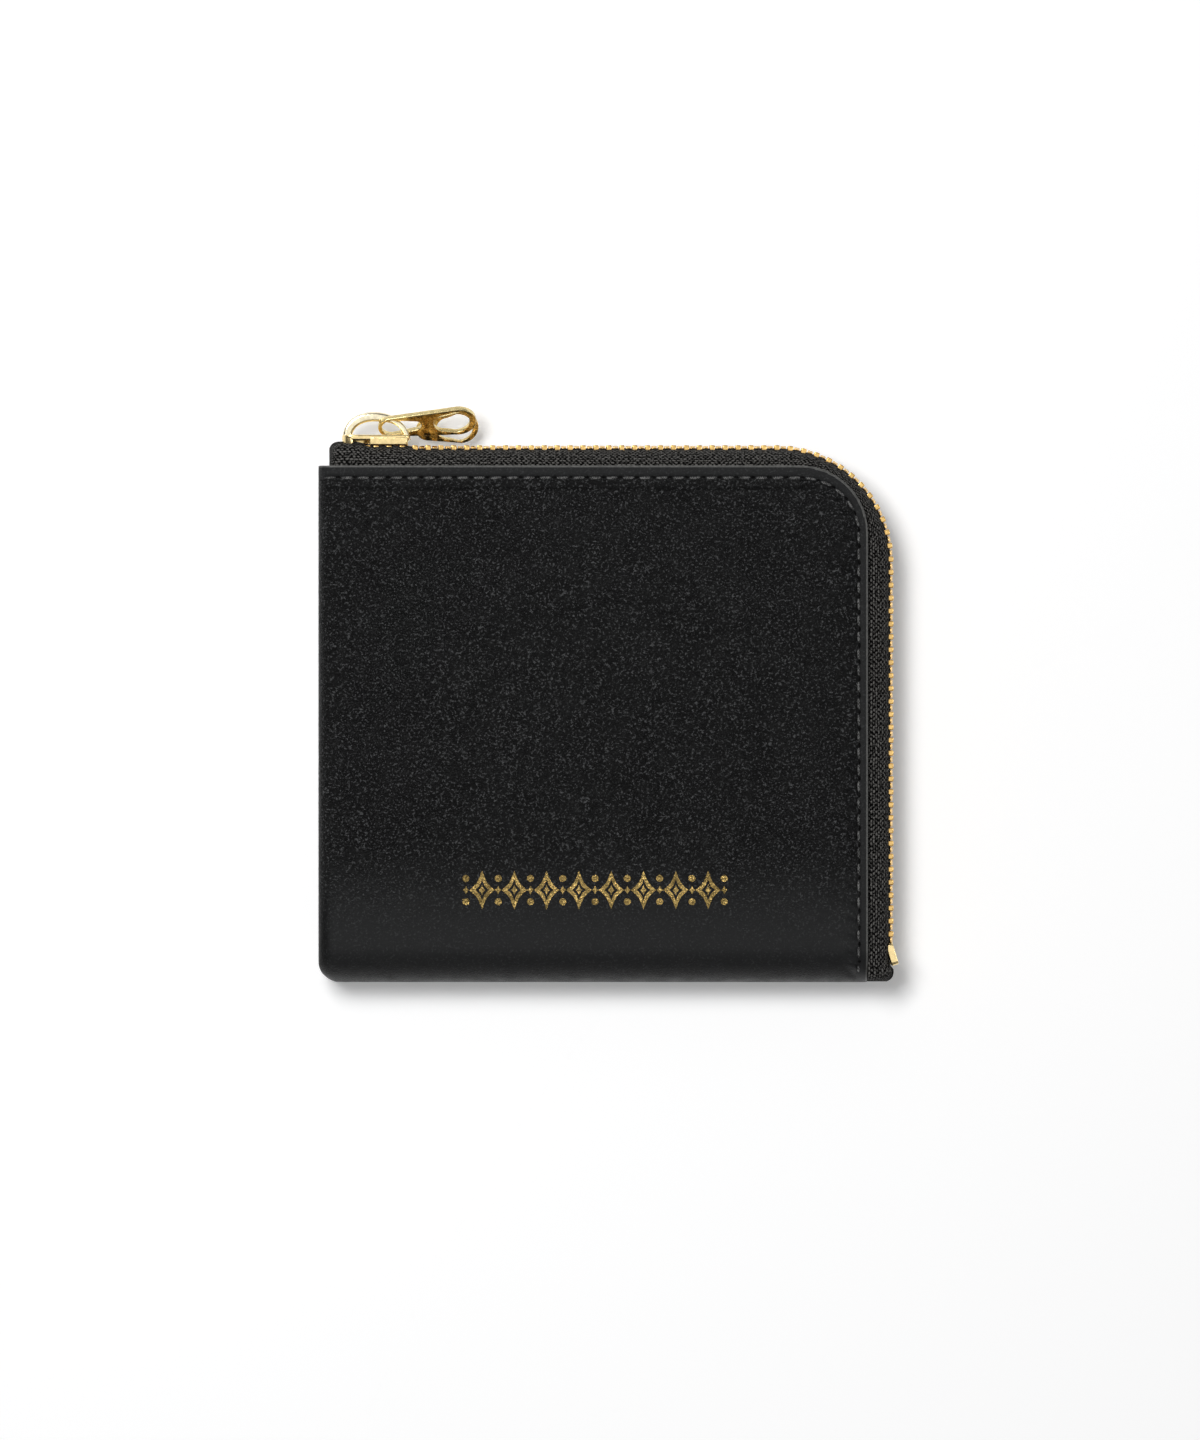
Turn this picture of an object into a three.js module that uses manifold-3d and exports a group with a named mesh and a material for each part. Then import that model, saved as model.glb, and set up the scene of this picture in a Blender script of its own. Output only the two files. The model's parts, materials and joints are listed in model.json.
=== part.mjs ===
// A compact leather wallet closed by an L-shaped metal zip, lying on its back panel.
// Frame: millimetres, +X to the zipped side edge, +Y to the zipped long edge, +Z up out of the front panel.
// The origin is the centre of the back panel's outer face, which is the face that the wallet rests on.
// The cover is one piece of leather folded along the bottom (-Y) and closed by a turned seam on the left (-X).
// Both closed sides stay shut, so the mouth opens by flexing the front panel along a diagonal crease.
// The front panel, its lining, tape, teeth and stitching are therefore split where that crease crosses them.

import * as THREE from "three";
import { mergeVertices } from "three/addons/utils/BufferGeometryUtils.js";
import Module from "manifold-3d";

const wasm = await Module();
wasm.setup();

// ---- driving dimensions -------------------------------------------------------------------------
const WIDTH = 105.2; // leather panel, X
const HEIGHT = 99.1; // leather panel, Y
const THICK = 20; // closed wallet, Z
const LEATHER = 1.5; // outer leather with its backing
const CORNER = 13; // panel corner between the two zipped edges
const FOLD_DEPTH = 7; // how far the bottom fold rounds in from the bottom edge
const SEAM_ROUND = 3; // rounding of the turned left seam
const HEEL = 4; // plan radius where the fold meets the seam
const CUT_CORNER = 1.5; // plan radius of the two small cut corners

const MID = THICK / 2; // the zip chain's mid height
const HALF_X = WIDTH / 2;
const HALF_Y = HEIGHT / 2;

const CHAIN_TOP = 2.5; // chain mid line beyond the long leather edge
const CHAIN_SIDE = 3.5; // chain mid line beyond the side leather edge
const CHAIN_RADIUS = 20.8; // chain mid line round the corner
const PITCH = 2.48; // tooth to tooth on one tape
const TAPE = 0.6; // tape thickness
const ALLOWANCE = 5; // tape hidden between leather and lining

const CREASE = 16.45; // the crease is the line x + y = CREASE
const CREASE_GAP = 0.4; // slot between the two sides of the crease
const OPENING_HALF = 0.6; // half of the running slot between the two rows of teeth

const CHAIN_X = HALF_X + CHAIN_SIDE;
const CHAIN_Y = HALF_Y + CHAIN_TOP;
const ARC_X = CHAIN_X - CHAIN_RADIUS; // centre of the chain's corner arc
const ARC_Y = CHAIN_Y - CHAIN_RADIUS;

const SLIDER_X = -41.7; // slider centre when the zip is closed
const SLIDER_LENGTH = 13;

// ---- finishes -----------------------------------------------------------------------------------
const finish = (color, roughness, metalness) =>
  new THREE.MeshStandardMaterial({ color, roughness, metalness });
const leatherBlack = finish(0x1d1d1e, 0.5, 0);
const liningBlack = finish(0x17171a, 0.8, 0);
const pocketLeather = finish(0x222122, 0.6, 0);
const tapeBlack = finish(0x111112, 0.9, 0);
const threadBlack = finish(0x0d0d0f, 0.6, 0);
const brass = finish(0xc9a24e, 0.3, 1);
const goldPlate = finish(0xd8b765, 0.2, 1);

// ---- solids -------------------------------------------------------------------------------------
// Turns a closed geometry's faces outwards if they point inwards.
function facingOut(geometry) {
  const p = geometry.getAttribute("position");
  const index = geometry.index.array;
  const [a, b, c] = [new THREE.Vector3(), new THREE.Vector3(), new THREE.Vector3()];
  let volume = 0;
  for (let i = 0; i < index.length; i += 3) {
    a.fromBufferAttribute(p, index[i]);
    b.fromBufferAttribute(p, index[i + 1]);
    c.fromBufferAttribute(p, index[i + 2]);
    volume += a.dot(b.cross(c));
  }
  if (volume < 0) {
    for (let i = 0; i < index.length; i += 3) {
      [index[i + 1], index[i + 2]] = [index[i + 2], index[i + 1]];
    }
  }
  return geometry;
}

function closedSurface(points, triangles) {
  const geometry = new THREE.BufferGeometry();
  geometry.setAttribute("position", new THREE.Float32BufferAttribute(points.flat(), 3));
  geometry.setIndex(triangles.flat());
  return facingOut(geometry);
}

function solid(geometry) {
  const bare = geometry.clone();
  bare.deleteAttribute("normal");
  bare.deleteAttribute("uv");
  const merged = mergeVertices(bare, 1e-4);
  return new wasm.Manifold(
    new wasm.Mesh({
      numProp: 3,
      vertProperties: merged.getAttribute("position").array,
      triVerts: new Uint32Array(merged.index.array),
    }),
  );
}

function geometryOf(manifold) {
  const mesh = manifold.getMesh();
  const geometry = new THREE.BufferGeometry();
  geometry.setAttribute("position", new THREE.BufferAttribute(mesh.vertProperties, 3));
  geometry.setIndex(new THREE.BufferAttribute(mesh.triVerts, 1));
  geometry.computeVertexNormals();
  return geometry;
}

const box = (x0, x1, y0, y1, z0, z1) =>
  new THREE.BoxGeometry(x1 - x0, y1 - y0, z1 - z0).translate(
    (x0 + x1) / 2,
    (y0 + y1) / 2,
    (z0 + z1) / 2,
  );

// Joins rings with the same number of points into one closed body with flat ends.
function loft(rings) {
  const count = rings[0].length;
  const points = rings.flat();
  const triangles = [];
  for (let r = 0; r + 1 < rings.length; r++) {
    for (let k = 0; k < count; k++) {
      const next = (k + 1) % count;
      const [a, b] = [r * count + k, r * count + next];
      triangles.push([a, b, b + count], [a, b + count, a + count]);
    }
  }
  const last = (rings.length - 1) * count;
  for (let k = 1; k + 1 < count; k++) {
    triangles.push([0, k + 1, k], [last, last + k, last + k + 1]);
  }
  return closedSurface(points, triangles);
}

// A sheet with thickness: rows[i][j] holds [outer point, inner point] of the same place on the sheet.
function sheet(rows) {
  const [m, n] = [rows.length, rows[0].length];
  const points = [...rows.flat().map((pair) => pair[0]), ...rows.flat().map((pair) => pair[1])];
  const under = m * n;
  const triangles = [];
  for (let i = 0; i + 1 < m; i++) {
    for (let j = 0; j + 1 < n; j++) {
      const [a, b, c, d] = [i * n + j, i * n + j + 1, (i + 1) * n + j + 1, (i + 1) * n + j];
      triangles.push([a, b, c], [a, c, d], [a + under, c + under, b + under]);
      triangles.push([a + under, d + under, c + under]);
    }
  }
  const wall = (a, b) => triangles.push([a, a + under, b + under], [a, b + under, b]);
  for (let j = 0; j + 1 < n; j++) {
    wall(j, j + 1);
    wall((m - 1) * n + j + 1, (m - 1) * n + j);
  }
  for (let i = 0; i + 1 < m; i++) {
    wall((i + 1) * n, i * n);
    wall(i * n + n - 1, (i + 1) * n + n - 1);
  }
  return closedSurface(points, triangles);
}

// ---- plan outlines ------------------------------------------------------------------------------
// A rectangle with four corner radii, as points running anticlockwise from the bottom left.
function roundedPlan(x0, x1, y0, y1, radii) {
  const STEPS = 8;
  const corners = [
    [x0, y0, 1, 1, Math.PI, radii.bottomLeft],
    [x1, y0, -1, 1, 1.5 * Math.PI, radii.bottomRight],
    [x1, y1, -1, -1, 0, radii.topRight],
    [x0, y1, 1, -1, 0.5 * Math.PI, radii.topLeft],
  ];
  return corners.flatMap(([x, y, sx, sy, start, r]) =>
    Array.from({ length: STEPS + 1 }, (_, k) => {
      const angle = start + (k / STEPS) * (Math.PI / 2);
      return [x + sx * r + r * Math.cos(angle), y + sy * r + r * Math.sin(angle)];
    }),
  );
}

const shapeOf = (plan) => new THREE.Shape(plan.map(([x, y]) => new THREE.Vector2(x, y)));

const plate = (plan, z0, z1) =>
  new THREE.ExtrudeGeometry(shapeOf(plan), { depth: z1 - z0, bevelEnabled: false }).translate(
    0,
    0,
    z0,
  );

// ---- outer leather ------------------------------------------------------------------------------
// How far the fold and the seam have rounded in at height z, for a body that spans low to high.
function foldInset(z, low, high, depth) {
  const half = (high - low) / 2;
  const t = (z - (low + high) / 2) / half;
  return depth * (1 - Math.sqrt(Math.max(0, 1 - t * t)));
}

function seamInset(z, low, high, radius) {
  const near = Math.min(z - low, high - z);
  return near >= radius ? 0 : radius - Math.sqrt(radius ** 2 - (radius - near) ** 2);
}

// The wallet's body between two heights. The zipped sides are moved out by "past".
function coverBody(low, high, inset, past) {
  const LEVELS = [0, 0.01, 0.04, 0.09, 0.15, 0.22, 0.32, 0.5, 0.68, 0.78, 0.85, 0.91, 0.96, 0.99, 1];
  const depth = FOLD_DEPTH - inset;
  const round = SEAM_ROUND - inset;
  return loft(
    LEVELS.map((share) => {
      const z = low + share * (high - low);
      const plan = roundedPlan(
        -HALF_X + inset + seamInset(z, low, high, round),
        HALF_X + past,
        -HALF_Y + inset + foldInset(z, low, high, depth),
        HALF_Y + past,
        {
          bottomLeft: HEEL - inset,
          bottomRight: CUT_CORNER,
          topRight: CORNER,
          topLeft: CUT_CORNER,
        },
      );
      return plan.map(([x, y]) => [x, y, z]);
    }),
  );
}

// A block holding everything on the opening side of the crease, above mid height.
function creaseSide(offset) {
  const REACH = 200;
  const cut = (CREASE + offset * Math.SQRT2) / 2;
  return solid(
    new THREE.BoxGeometry(REACH, REACH, THICK)
      .translate(REACH / 2, 0, MID + THICK / 2)
      .rotateZ(Math.PI / 4)
      .translate(cut, cut, 0),
  );
}
const flapSide = creaseSide(CREASE_GAP / 2);
const aboveCrease = creaseSide(-CREASE_GAP / 2);

// ---- stitching ----------------------------------------------------------------------------------
const STITCH_IN = 1.7; // seam line inside the leather's cut edge
const GROOVE = 0.45; // depth of the seam groove
const THREAD = 0.5; // thread width
const SEAM_END = 42; // the modelled thread stops where the bottom fold starts to round

function seamLine(fromX, toY) {
  const radius = CORNER - STITCH_IN;
  const line = [[fromX, HALF_Y - STITCH_IN]];
  const STEPS = 8;
  for (let k = 0; k <= STEPS; k++) {
    const angle = ((1 - k / STEPS) * Math.PI) / 2;
    line.push([
      HALF_X - CORNER + radius * Math.cos(angle),
      HALF_Y - CORNER + radius * Math.sin(angle),
    ]);
  }
  line.push([HALF_X - STITCH_IN, toY]);
  return line;
}

// A ribbon of the given width along a line of points, between two heights.
function ribbon(line, width, z0, z1) {
  const side = (sign) =>
    line.map(([x, y], k) => {
      const [ax, ay] = line[Math.max(0, k - 1)];
      const [bx, by] = line[Math.min(line.length - 1, k + 1)];
      const length = Math.hypot(bx - ax, by - ay);
      const [nx, ny] = [(ay - by) / length, (bx - ax) / length];
      return [x + (sign * nx * width) / 2, y + (sign * ny * width) / 2];
    });
  return plate([...side(1), ...side(-1).reverse()], z0, z1);
}

const grooveTool = (z0, z1) => solid(ribbon(seamLine(-HALF_X - 1, -SEAM_END), THREAD + 0.3, z0, z1));

function outerCover() {
  const hollow = solid(coverBody(LEATHER, THICK - LEATHER, LEATHER, 5));
  return solid(coverBody(0, THICK, 0, 0))
    .subtract(hollow)
    .subtract(grooveTool(-1, GROOVE))
    .subtract(grooveTool(THICK - GROOVE, THICK + 1));
}

function stitches(name, geometry) {
  return part(name, geometry, threadBlack);
}

// ---- zip path -----------------------------------------------------------------------------------
// Lengths along the chain's mid line, measured from x = 0 on the long edge, running towards the corner.
const ARC_START = ARC_X;
const ARC_END = ARC_START + (CHAIN_RADIUS * Math.PI) / 2;
const alongX = (x) => x;
const alongY = (y) => ARC_END + (ARC_Y - y);

// The leather edge on the ray from the chain's arc centre at this angle.
function leatherRadius(angle) {
  const [dx, dy] = [Math.cos(angle), Math.sin(angle)];
  const [mx, my] = [HALF_X - CORNER - ARC_X, HALF_Y - CORNER - ARC_Y];
  const top = (HALF_Y - ARC_Y) / dy;
  if (top * dx <= mx) return top;
  const side = (HALF_X - ARC_X) / dx;
  if (side * dy <= my) return side;
  const dot = dx * mx + dy * my;
  return dot + Math.sqrt(CORNER ** 2 - mx ** 2 - my ** 2 + dot ** 2);
}

// At a length along the chain: its mid point, the leather edge beside it and the outward direction.
function station(s) {
  if (s <= ARC_START) {
    return { chain: [s, CHAIN_Y], edge: [s, HALF_Y], out: [0, 1] };
  }
  if (s >= ARC_END) {
    const y = ARC_Y - (s - ARC_END);
    return { chain: [CHAIN_X, y], edge: [HALF_X, y], out: [1, 0] };
  }
  const angle = Math.PI / 2 - (s - ARC_START) / CHAIN_RADIUS;
  const out = [Math.cos(angle), Math.sin(angle)];
  const r = leatherRadius(angle);
  return {
    chain: [ARC_X + CHAIN_RADIUS * out[0], ARC_Y + CHAIN_RADIUS * out[1]],
    edge: [ARC_X + r * out[0], ARC_Y + r * out[1]],
    out,
  };
}

const TAPE_START = alongX(-50.4);
const TAPE_END = alongY(-49.1);
const TOP_END = alongX(-19.6); // the front tape stays with the cover up to here
const BOTTOM_END = alongY(-27.5); // and from here on
const TEETH_START = alongX(-41.6);
const TEETH_END = alongY(-41.4);

function spaced(from, to, step) {
  const count = Math.max(1, Math.round((to - from) / step));
  return Array.from({ length: count + 1 }, (_, k) => from + ((to - from) * k) / count);
}

// Lengths that follow the straight runs in few steps and the corner in many.
function stations(from, to) {
  const marks = [from, ...spaced(ARC_START, ARC_END, 3), to].filter((s) => s >= from && s <= to);
  const ends = [0.4, 1.1, 2.2, 5].flatMap((d) => [TAPE_START + d, TAPE_END - d]);
  return [...new Set([...marks, ...ends.filter((s) => s > from && s < to)])].sort((a, b) => a - b);
}

// The tape's mid surface from its sewn edge to the chain: share of the way out, and height above mid.
const TAPE_PROFILE = [
  [0.0, 7.9],
  [0.3, 7.65],
  [0.6, 6.9],
  [0.82, 5.9],
  [0.96, 4.9],
  [1.0, 4.3],
  [1.0, 1.5],
];

// A tape half, "side" +1 on the front and -1 on the back. Its ends round in towards the leather.
function tape(from, to, side) {
  const rows = stations(from, to).map((s) => {
    const { chain, edge, out } = station(s);
    const fromEnd = Math.min(s - TAPE_START, TAPE_END - s);
    const rounding = fromEnd >= 2.2 ? 1 : Math.sqrt(1 - (1 - Math.max(fromEnd, 0.25) / 2.2) ** 2);
    const [sewn, start] = TAPE_END - s < 8 ? [-0.15, 0.4] : [ALLOWANCE, 0]; // the fold leaves no room
    const reach = Math.hypot(chain[0] - edge[0], chain[1] - edge[1]);
    const curve = TAPE_PROFILE.map(([a, h]) => [Math.max(a * reach * rounding, start), h]);
    const profile = [[-sewn, 7.9], ...curve];
    return profile.map(([u, h], k) => {
      const [pu, ph] = profile[Math.max(0, k - 1)];
      const [nu, nh] = profile[Math.min(profile.length - 1, k + 1)];
      const length = Math.hypot(nu - pu, nh - ph);
      const [du, dh] = [((ph - nh) / length) * (TAPE / 2), ((nu - pu) / length) * (TAPE / 2)];
      return [1, -1].map((face) => [
        edge[0] + out[0] * (u + face * du),
        edge[1] + out[1] * (u + face * du),
        MID + side * (h + face * dh),
      ]);
    });
  });
  return sheet(rows);
}

// ---- teeth --------------------------------------------------------------------------------------
const TOOTH = { half: 1.2, leg: 0.45, head: 1.35, tip: 2.9, width: 1.15 };

// A C-shaped clamp in the plane across the chain: it is open towards its own tape.
function clampShape() {
  const { half, leg, head, tip } = TOOTH;
  return shapeOf([
    [-half, OPENING_HALF],
    [half, OPENING_HALF],
    [half, tip],
    [leg, tip],
    [leg, head],
    [-leg, head],
    [-leg, tip],
    [-half, tip],
  ]);
}

// Stands a cross-section on the chain at length s, with its X outwards and its Y away from mid height.
function onChain(geometry, s, side, thickness) {
  const { chain, out } = station(s);
  const matrix = new THREE.Matrix4().makeBasis(
    new THREE.Vector3(out[0], out[1], 0),
    new THREE.Vector3(0, 0, side),
    new THREE.Vector3(out[1] * side, -out[0] * side, 0),
  );
  matrix.setPosition(chain[0], chain[1], MID);
  return geometry.translate(0, 0, -thickness / 2).applyMatrix4(matrix);
}

const clamp = (s, side, width) =>
  onChain(
    new THREE.ExtrudeGeometry(clampShape(), { depth: width, bevelEnabled: false }),
    s,
    side,
    width,
  );

// The woven bead that carries the teeth along the tape's edge.
function bead(from, to, side) {
  const [low, high, half] = [OPENING_HALF + 0.15, TOOTH.head - 0.1, 0.5];
  const marks = [from, ...spaced(ARC_START, ARC_END, 3), to].filter((s) => s >= from && s <= to);
  const rows = [...new Set(marks)].map((s) => {
    const { chain, out } = station(s);
    return [low, high].map((h) =>
      [half, -half].map((u) => [chain[0] + out[0] * u, chain[1] + out[1] * u, MID + side * h]),
    );
  });
  return sheet(rows);
}

// One row of teeth on its bead, holding every tooth whose place falls between two lengths.
function teeth(from, to, side, shift) {
  const clamps = [];
  for (let s = TEETH_START + shift; s < TEETH_END; s += PITCH) {
    if (s - TOOTH.width / 2 >= from && s + TOOTH.width / 2 <= to) {
      clamps.push(solid(clamp(s, side, TOOTH.width)));
    }
  }
  return geometryOf(wasm.Manifold.union([solid(bead(from, to, side)), ...clamps]));
}

// The bottom stop holds both tapes: an outer and an inner plate joined between the tape edges.
function bottomStop() {
  const [half, slot, web, wide] = [1.35, 0.5, 1.1, 3.2];
  const shape = shapeOf([
    [-half, -wide],
    [-slot, -wide],
    [-slot, -web],
    [slot, -web],
    [slot, -wide],
    [half, -wide],
    [half, wide],
    [slot, wide],
    [slot, web],
    [-slot, web],
    [-slot, wide],
    [-half, wide],
  ]);
  const LENGTH = 3.9;
  return onChain(
    new THREE.ExtrudeGeometry(shape, { depth: LENGTH, bevelEnabled: false }),
    alongY(-43.9),
    1,
    LENGTH,
  );
}

// ---- slider -------------------------------------------------------------------------------------
const PLATE = { inner: 1.5, outer: 3.0, under: 2.7, lip: 0.75 };

// An outline in X and Z made into a plate between two distances outwards from the chain's mid line.
function sliderPlate(plan, u0, u1) {
  return solid(
    new THREE.ExtrudeGeometry(shapeOf(plan), { depth: u1 - u0, bevelEnabled: false })
      .rotateX(Math.PI / 2)
      .translate(SLIDER_X, CHAIN_Y + u1, MID),
  );
}

// Both plates have the same outline: wide shoulders at the closing end, narrower behind.
const sliderPlan = [
  [-6.5, -3.2],
  [-6.1, -4.2],
  [-5.0, -4.9],
  [-3.2, -4.9],
  [-0.5, -4.4],
  [5.8, -4.4],
  [6.5, -3.7],
  [6.5, 3.7],
  [5.8, 4.4],
  [-0.5, 4.4],
  [-3.2, 4.9],
  [-5.0, 4.9],
  [-6.1, 4.2],
  [-6.5, 3.2],
];
const strip = (x0, x1, z0, z1) => [
  [x0, z0],
  [x1, z0],
  [x1, z1],
  [x0, z1],
];

function sliderBody() {
  const { inner, outer, under, lip } = PLATE;
  const pieces = [
    sliderPlate(sliderPlan, inner, outer),
    sliderPlate(sliderPlan, -under, -inner),
    sliderPlate(strip(-5.7, -2.2, -0.4, 0.4), -under, outer),
  ];
  for (const side of [-1, 1]) {
    const [z0, z1] = side > 0 ? [3.4, 4.4] : [-4.4, -3.4];
    pieces.push(sliderPlate(strip(-0.6, 5.8, z0, z1), lip, inner + 0.2));
    pieces.push(sliderPlate(strip(-0.6, 5.8, z0, z1), -inner - 0.2, -lip));
  }
  return geometryOf(wasm.Manifold.union(pieces));
}

// The bridge is a low loop over the slider's length; the pull slides along it.
const BRIDGE_HALF = 0.6;
const BRIDGE_FOOT = CHAIN_Y + PLATE.outer + 0.02;

function sliderBridge() {
  const shape = new THREE.Shape();
  shape.moveTo(-6.4, 0);
  shape.bezierCurveTo(-6.4, 3.0, -3.6, 5.0, -0.4, 5.0);
  shape.bezierCurveTo(3.0, 5.0, 6.4, 3.6, 6.6, 0);
  shape.lineTo(5.4, 0);
  shape.bezierCurveTo(5.3, 2.4, 2.8, 3.6, -0.2, 3.6);
  shape.bezierCurveTo(-2.4, 3.6, -4.1, 2.1, -4.3, 0);
  shape.closePath();
  return new THREE.ExtrudeGeometry(shape, {
    depth: 2 * BRIDGE_HALF,
    bevelEnabled: false,
    curveSegments: 10,
  }).translate(SLIDER_X, BRIDGE_FOOT, MID - BRIDGE_HALF);
}

// ---- pull ---------------------------------------------------------------------------------------
const PULL = {
  front: 1.0,
  rear: 0.8,
  pivot: [-40.2, 57.2, MID], // inside the bridge, where the eye's end rim hooks through it
  frontTurn: [48, 0, 5].map(THREE.MathUtils.degToRad),
  rearTurn: [31, 0, 4.3].map(THREE.MathUtils.degToRad),
};

// Outline of a leaf that widens from the eye end to the round finger end.
function leafOutline(start, startHalf, endHalf, length) {
  const shape = new THREE.Shape();
  const end = length - endHalf;
  shape.absarc(start + startHalf, 0, startHalf, Math.PI / 2, 1.5 * Math.PI, false);
  shape.lineTo(end, -endHalf);
  shape.absarc(end, 0, endHalf, -Math.PI / 2, Math.PI / 2, false);
  shape.closePath();
  return shape;
}

function slot(x0, x1, half0, half1) {
  const hole = new THREE.Path();
  hole.absarc(x1 - half1, 0, half1, -Math.PI / 2, Math.PI / 2, false);
  hole.absarc(x0 + half0, 0, half0, Math.PI / 2, 1.5 * Math.PI, false);
  hole.closePath();
  return hole;
}

function leaf(outline, holes, thick) {
  outline.holes.push(...holes);
  return new THREE.ExtrudeGeometry(outline, {
    depth: thick,
    bevelEnabled: false,
    curveSegments: 8,
  }).translate(0, 0, -thick / 2);
}

const frontLeaf = () =>
  leaf(
    leafOutline(-1.15, 2.5, 3.5, 17.8),
    [slot(-0.4, 7.2, 1.95, 1.45), slot(9.6, 16.5, 2.2, 2.75)],
    PULL.front,
  );
const rearLeaf = () =>
  leaf(leafOutline(5.8, 2.4, 3.5, 17.9), [slot(9.8, 16.8, 2.3, 2.95)], PULL.rear);

// ---- inside -------------------------------------------------------------------------------------
const INNER_LEFT = -49.4;
const LINING_FOOT = -42.4;
const softCorners = { bottomLeft: 2, bottomRight: 0.6, topRight: 8, topLeft: 0.6 };
const pocketCorners = { bottomLeft: 2, bottomRight: 2, topRight: 3, topLeft: 0.6 };

const backLining = () =>
  plate(
    roundedPlan(INNER_LEFT, HALF_X - 5.6, LINING_FOOT, HALF_Y - 5.6, softCorners),
    LEATHER + 0.1,
    LEATHER + 0.6,
  );

const frontLining = () =>
  solid(
    plate(
      roundedPlan(INNER_LEFT, HALF_X - 7.5, LINING_FOOT, HALF_Y - 7.5, softCorners),
      THICK - LEATHER - 0.6,
      THICK - LEATHER - 0.1,
    ),
  );

// Card pockets stand one in front of the other, each lower than the one behind it.
const CARD = { right: 43, foot: -43.6, top: 33, step: 10, base: 2.3, rise: 0.9, thick: 0.7 };
const cardPocket = (k) =>
  plate(
    roundedPlan(-50.6, CARD.right, CARD.foot, CARD.top - k * CARD.step, pocketCorners),
    CARD.base + k * CARD.rise,
    CARD.base + k * CARD.rise + CARD.thick,
  );

const COIN = { left: -50.6, right: 44, foot: -44.5, back: 6.9, front: 12.2, wall: 0.7 };
const coinWall = (top, z) =>
  plate(roundedPlan(COIN.left, COIN.right, COIN.foot, top, pocketCorners), z, z + COIN.wall);

// A gusset folds inwards like a V between the two coin pocket walls.
function coinGusset(x, inwards) {
  const [low, high] = [COIN.back + COIN.wall + 0.05, COIN.front - 0.05];
  const [mid, t, depth] = [(low + high) / 2, 0.5, 4.5];
  const fold = [
    [0, low],
    [t, low],
    [depth + t, mid],
    [t, high],
    [0, high],
    [depth, mid],
  ];
  const shape = shapeOf(fold.map(([u, z]) => [x + inwards * u, z]));
  return new THREE.ExtrudeGeometry(shape, { depth: 70, bevelEnabled: false })
    .rotateX(Math.PI / 2)
    .translate(0, 28, 0);
}

const coinFloor = () =>
  box(COIN.left + 6, COIN.right - 6, COIN.foot, COIN.foot + 0.7, 7.65, COIN.front - 0.05);

// ---- assembly -----------------------------------------------------------------------------------
function part(name, geometry, material) {
  const mesh = new THREE.Mesh(geometry, material);
  mesh.name = name;
  return mesh;
}

const wallet = new THREE.Group();

const cover = outerCover();
wallet.add(part("outer_cover", geometryOf(cover.subtract(aboveCrease)), leatherBlack));
wallet.add(part("front_panel", geometryOf(cover.intersect(flapSide)), leatherBlack));

const lining = frontLining();
wallet.add(part("back_lining", backLining(), liningBlack));
wallet.add(part("front_lining_fixed", geometryOf(lining.subtract(aboveCrease)), liningBlack));
wallet.add(part("front_lining", geometryOf(lining.intersect(flapSide)), liningBlack));

for (let k = 0; k < 4; k++) {
  wallet.add(part(`card_pocket_${k + 1}`, cardPocket(k), pocketLeather));
}
wallet.add(part("coin_pocket_back_wall", coinWall(36, COIN.back), pocketLeather));
wallet.add(part("coin_pocket_front_wall", coinWall(29, COIN.front), pocketLeather));
wallet.add(part("coin_gusset_left", coinGusset(COIN.left + 0.5, 1), liningBlack));
wallet.add(part("coin_gusset_right", coinGusset(COIN.right - 0.5, -1), liningBlack));
wallet.add(part("coin_pocket_floor", coinFloor(), liningBlack));

const SPLIT = 0.4; // gap where the front tape and teeth change from the cover to the flap
wallet.add(part("back_tape", tape(TAPE_START, TAPE_END, -1), tapeBlack));
wallet.add(part("front_tape_top_end", tape(TAPE_START, TOP_END, 1), tapeBlack));
wallet.add(part("front_tape", tape(TOP_END + SPLIT, BOTTOM_END - SPLIT, 1), tapeBlack));
wallet.add(part("front_tape_bottom_end", tape(BOTTOM_END, TAPE_END, 1), tapeBlack));

const FIRST = TEETH_START - TOOTH.width / 2;
wallet.add(part("back_teeth", teeth(FIRST, TEETH_END, -1, PITCH / 2), brass));
wallet.add(part("front_teeth_top_end", teeth(FIRST, TOP_END, 1, 0), brass));
wallet.add(part("front_teeth", teeth(TOP_END + SPLIT, BOTTOM_END - SPLIT, 1, 0), brass));
wallet.add(part("front_teeth_bottom_end", teeth(BOTTOM_END, TEETH_END, 1, 0), brass));

const STOP_AT = FIRST - 1.2;
const STOP_WIDTH = 1.5;
wallet.add(part("top_stop_front", clamp(STOP_AT, 1, STOP_WIDTH), brass));
wallet.add(part("top_stop_back", clamp(STOP_AT, -1, STOP_WIDTH), brass));
wallet.add(part("bottom_stop", bottomStop(), goldPlate));

const thread = (line, front) =>
  front
    ? ribbon(line, THREAD, THICK - GROOVE + 0.05, THICK - 0.05)
    : ribbon(line, THREAD, 0.05, GROOVE - 0.05);
const creaseX = CREASE - (HALF_Y - STITCH_IN);
const creaseY = CREASE - (HALF_X - STITCH_IN);
const straight = (x0, y0, x1, y1) => [
  [x0, y0],
  [x1, y1],
];
const seamY = HALF_Y - STITCH_IN;
const seamX = HALF_X - STITCH_IN;
wallet.add(stitches("front_stitching", thread(seamLine(creaseX + 1.2, creaseY + 1.2), true)));
wallet.add(
  stitches("front_stitching_top_end", thread(straight(-51.4, seamY, creaseX - 1, seamY), true)),
);
wallet.add(
  stitches(
    "front_stitching_bottom_end",
    thread(straight(seamX, creaseY - 1, seamX, -SEAM_END + 0.3), true),
  ),
);
wallet.add(stitches("back_stitching", thread(seamLine(-51.4, -SEAM_END + 0.3), false)));

wallet.add(part("slider_body", sliderBody(), goldPlate));
wallet.add(part("slider_bridge", sliderBridge(), goldPlate));

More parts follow.
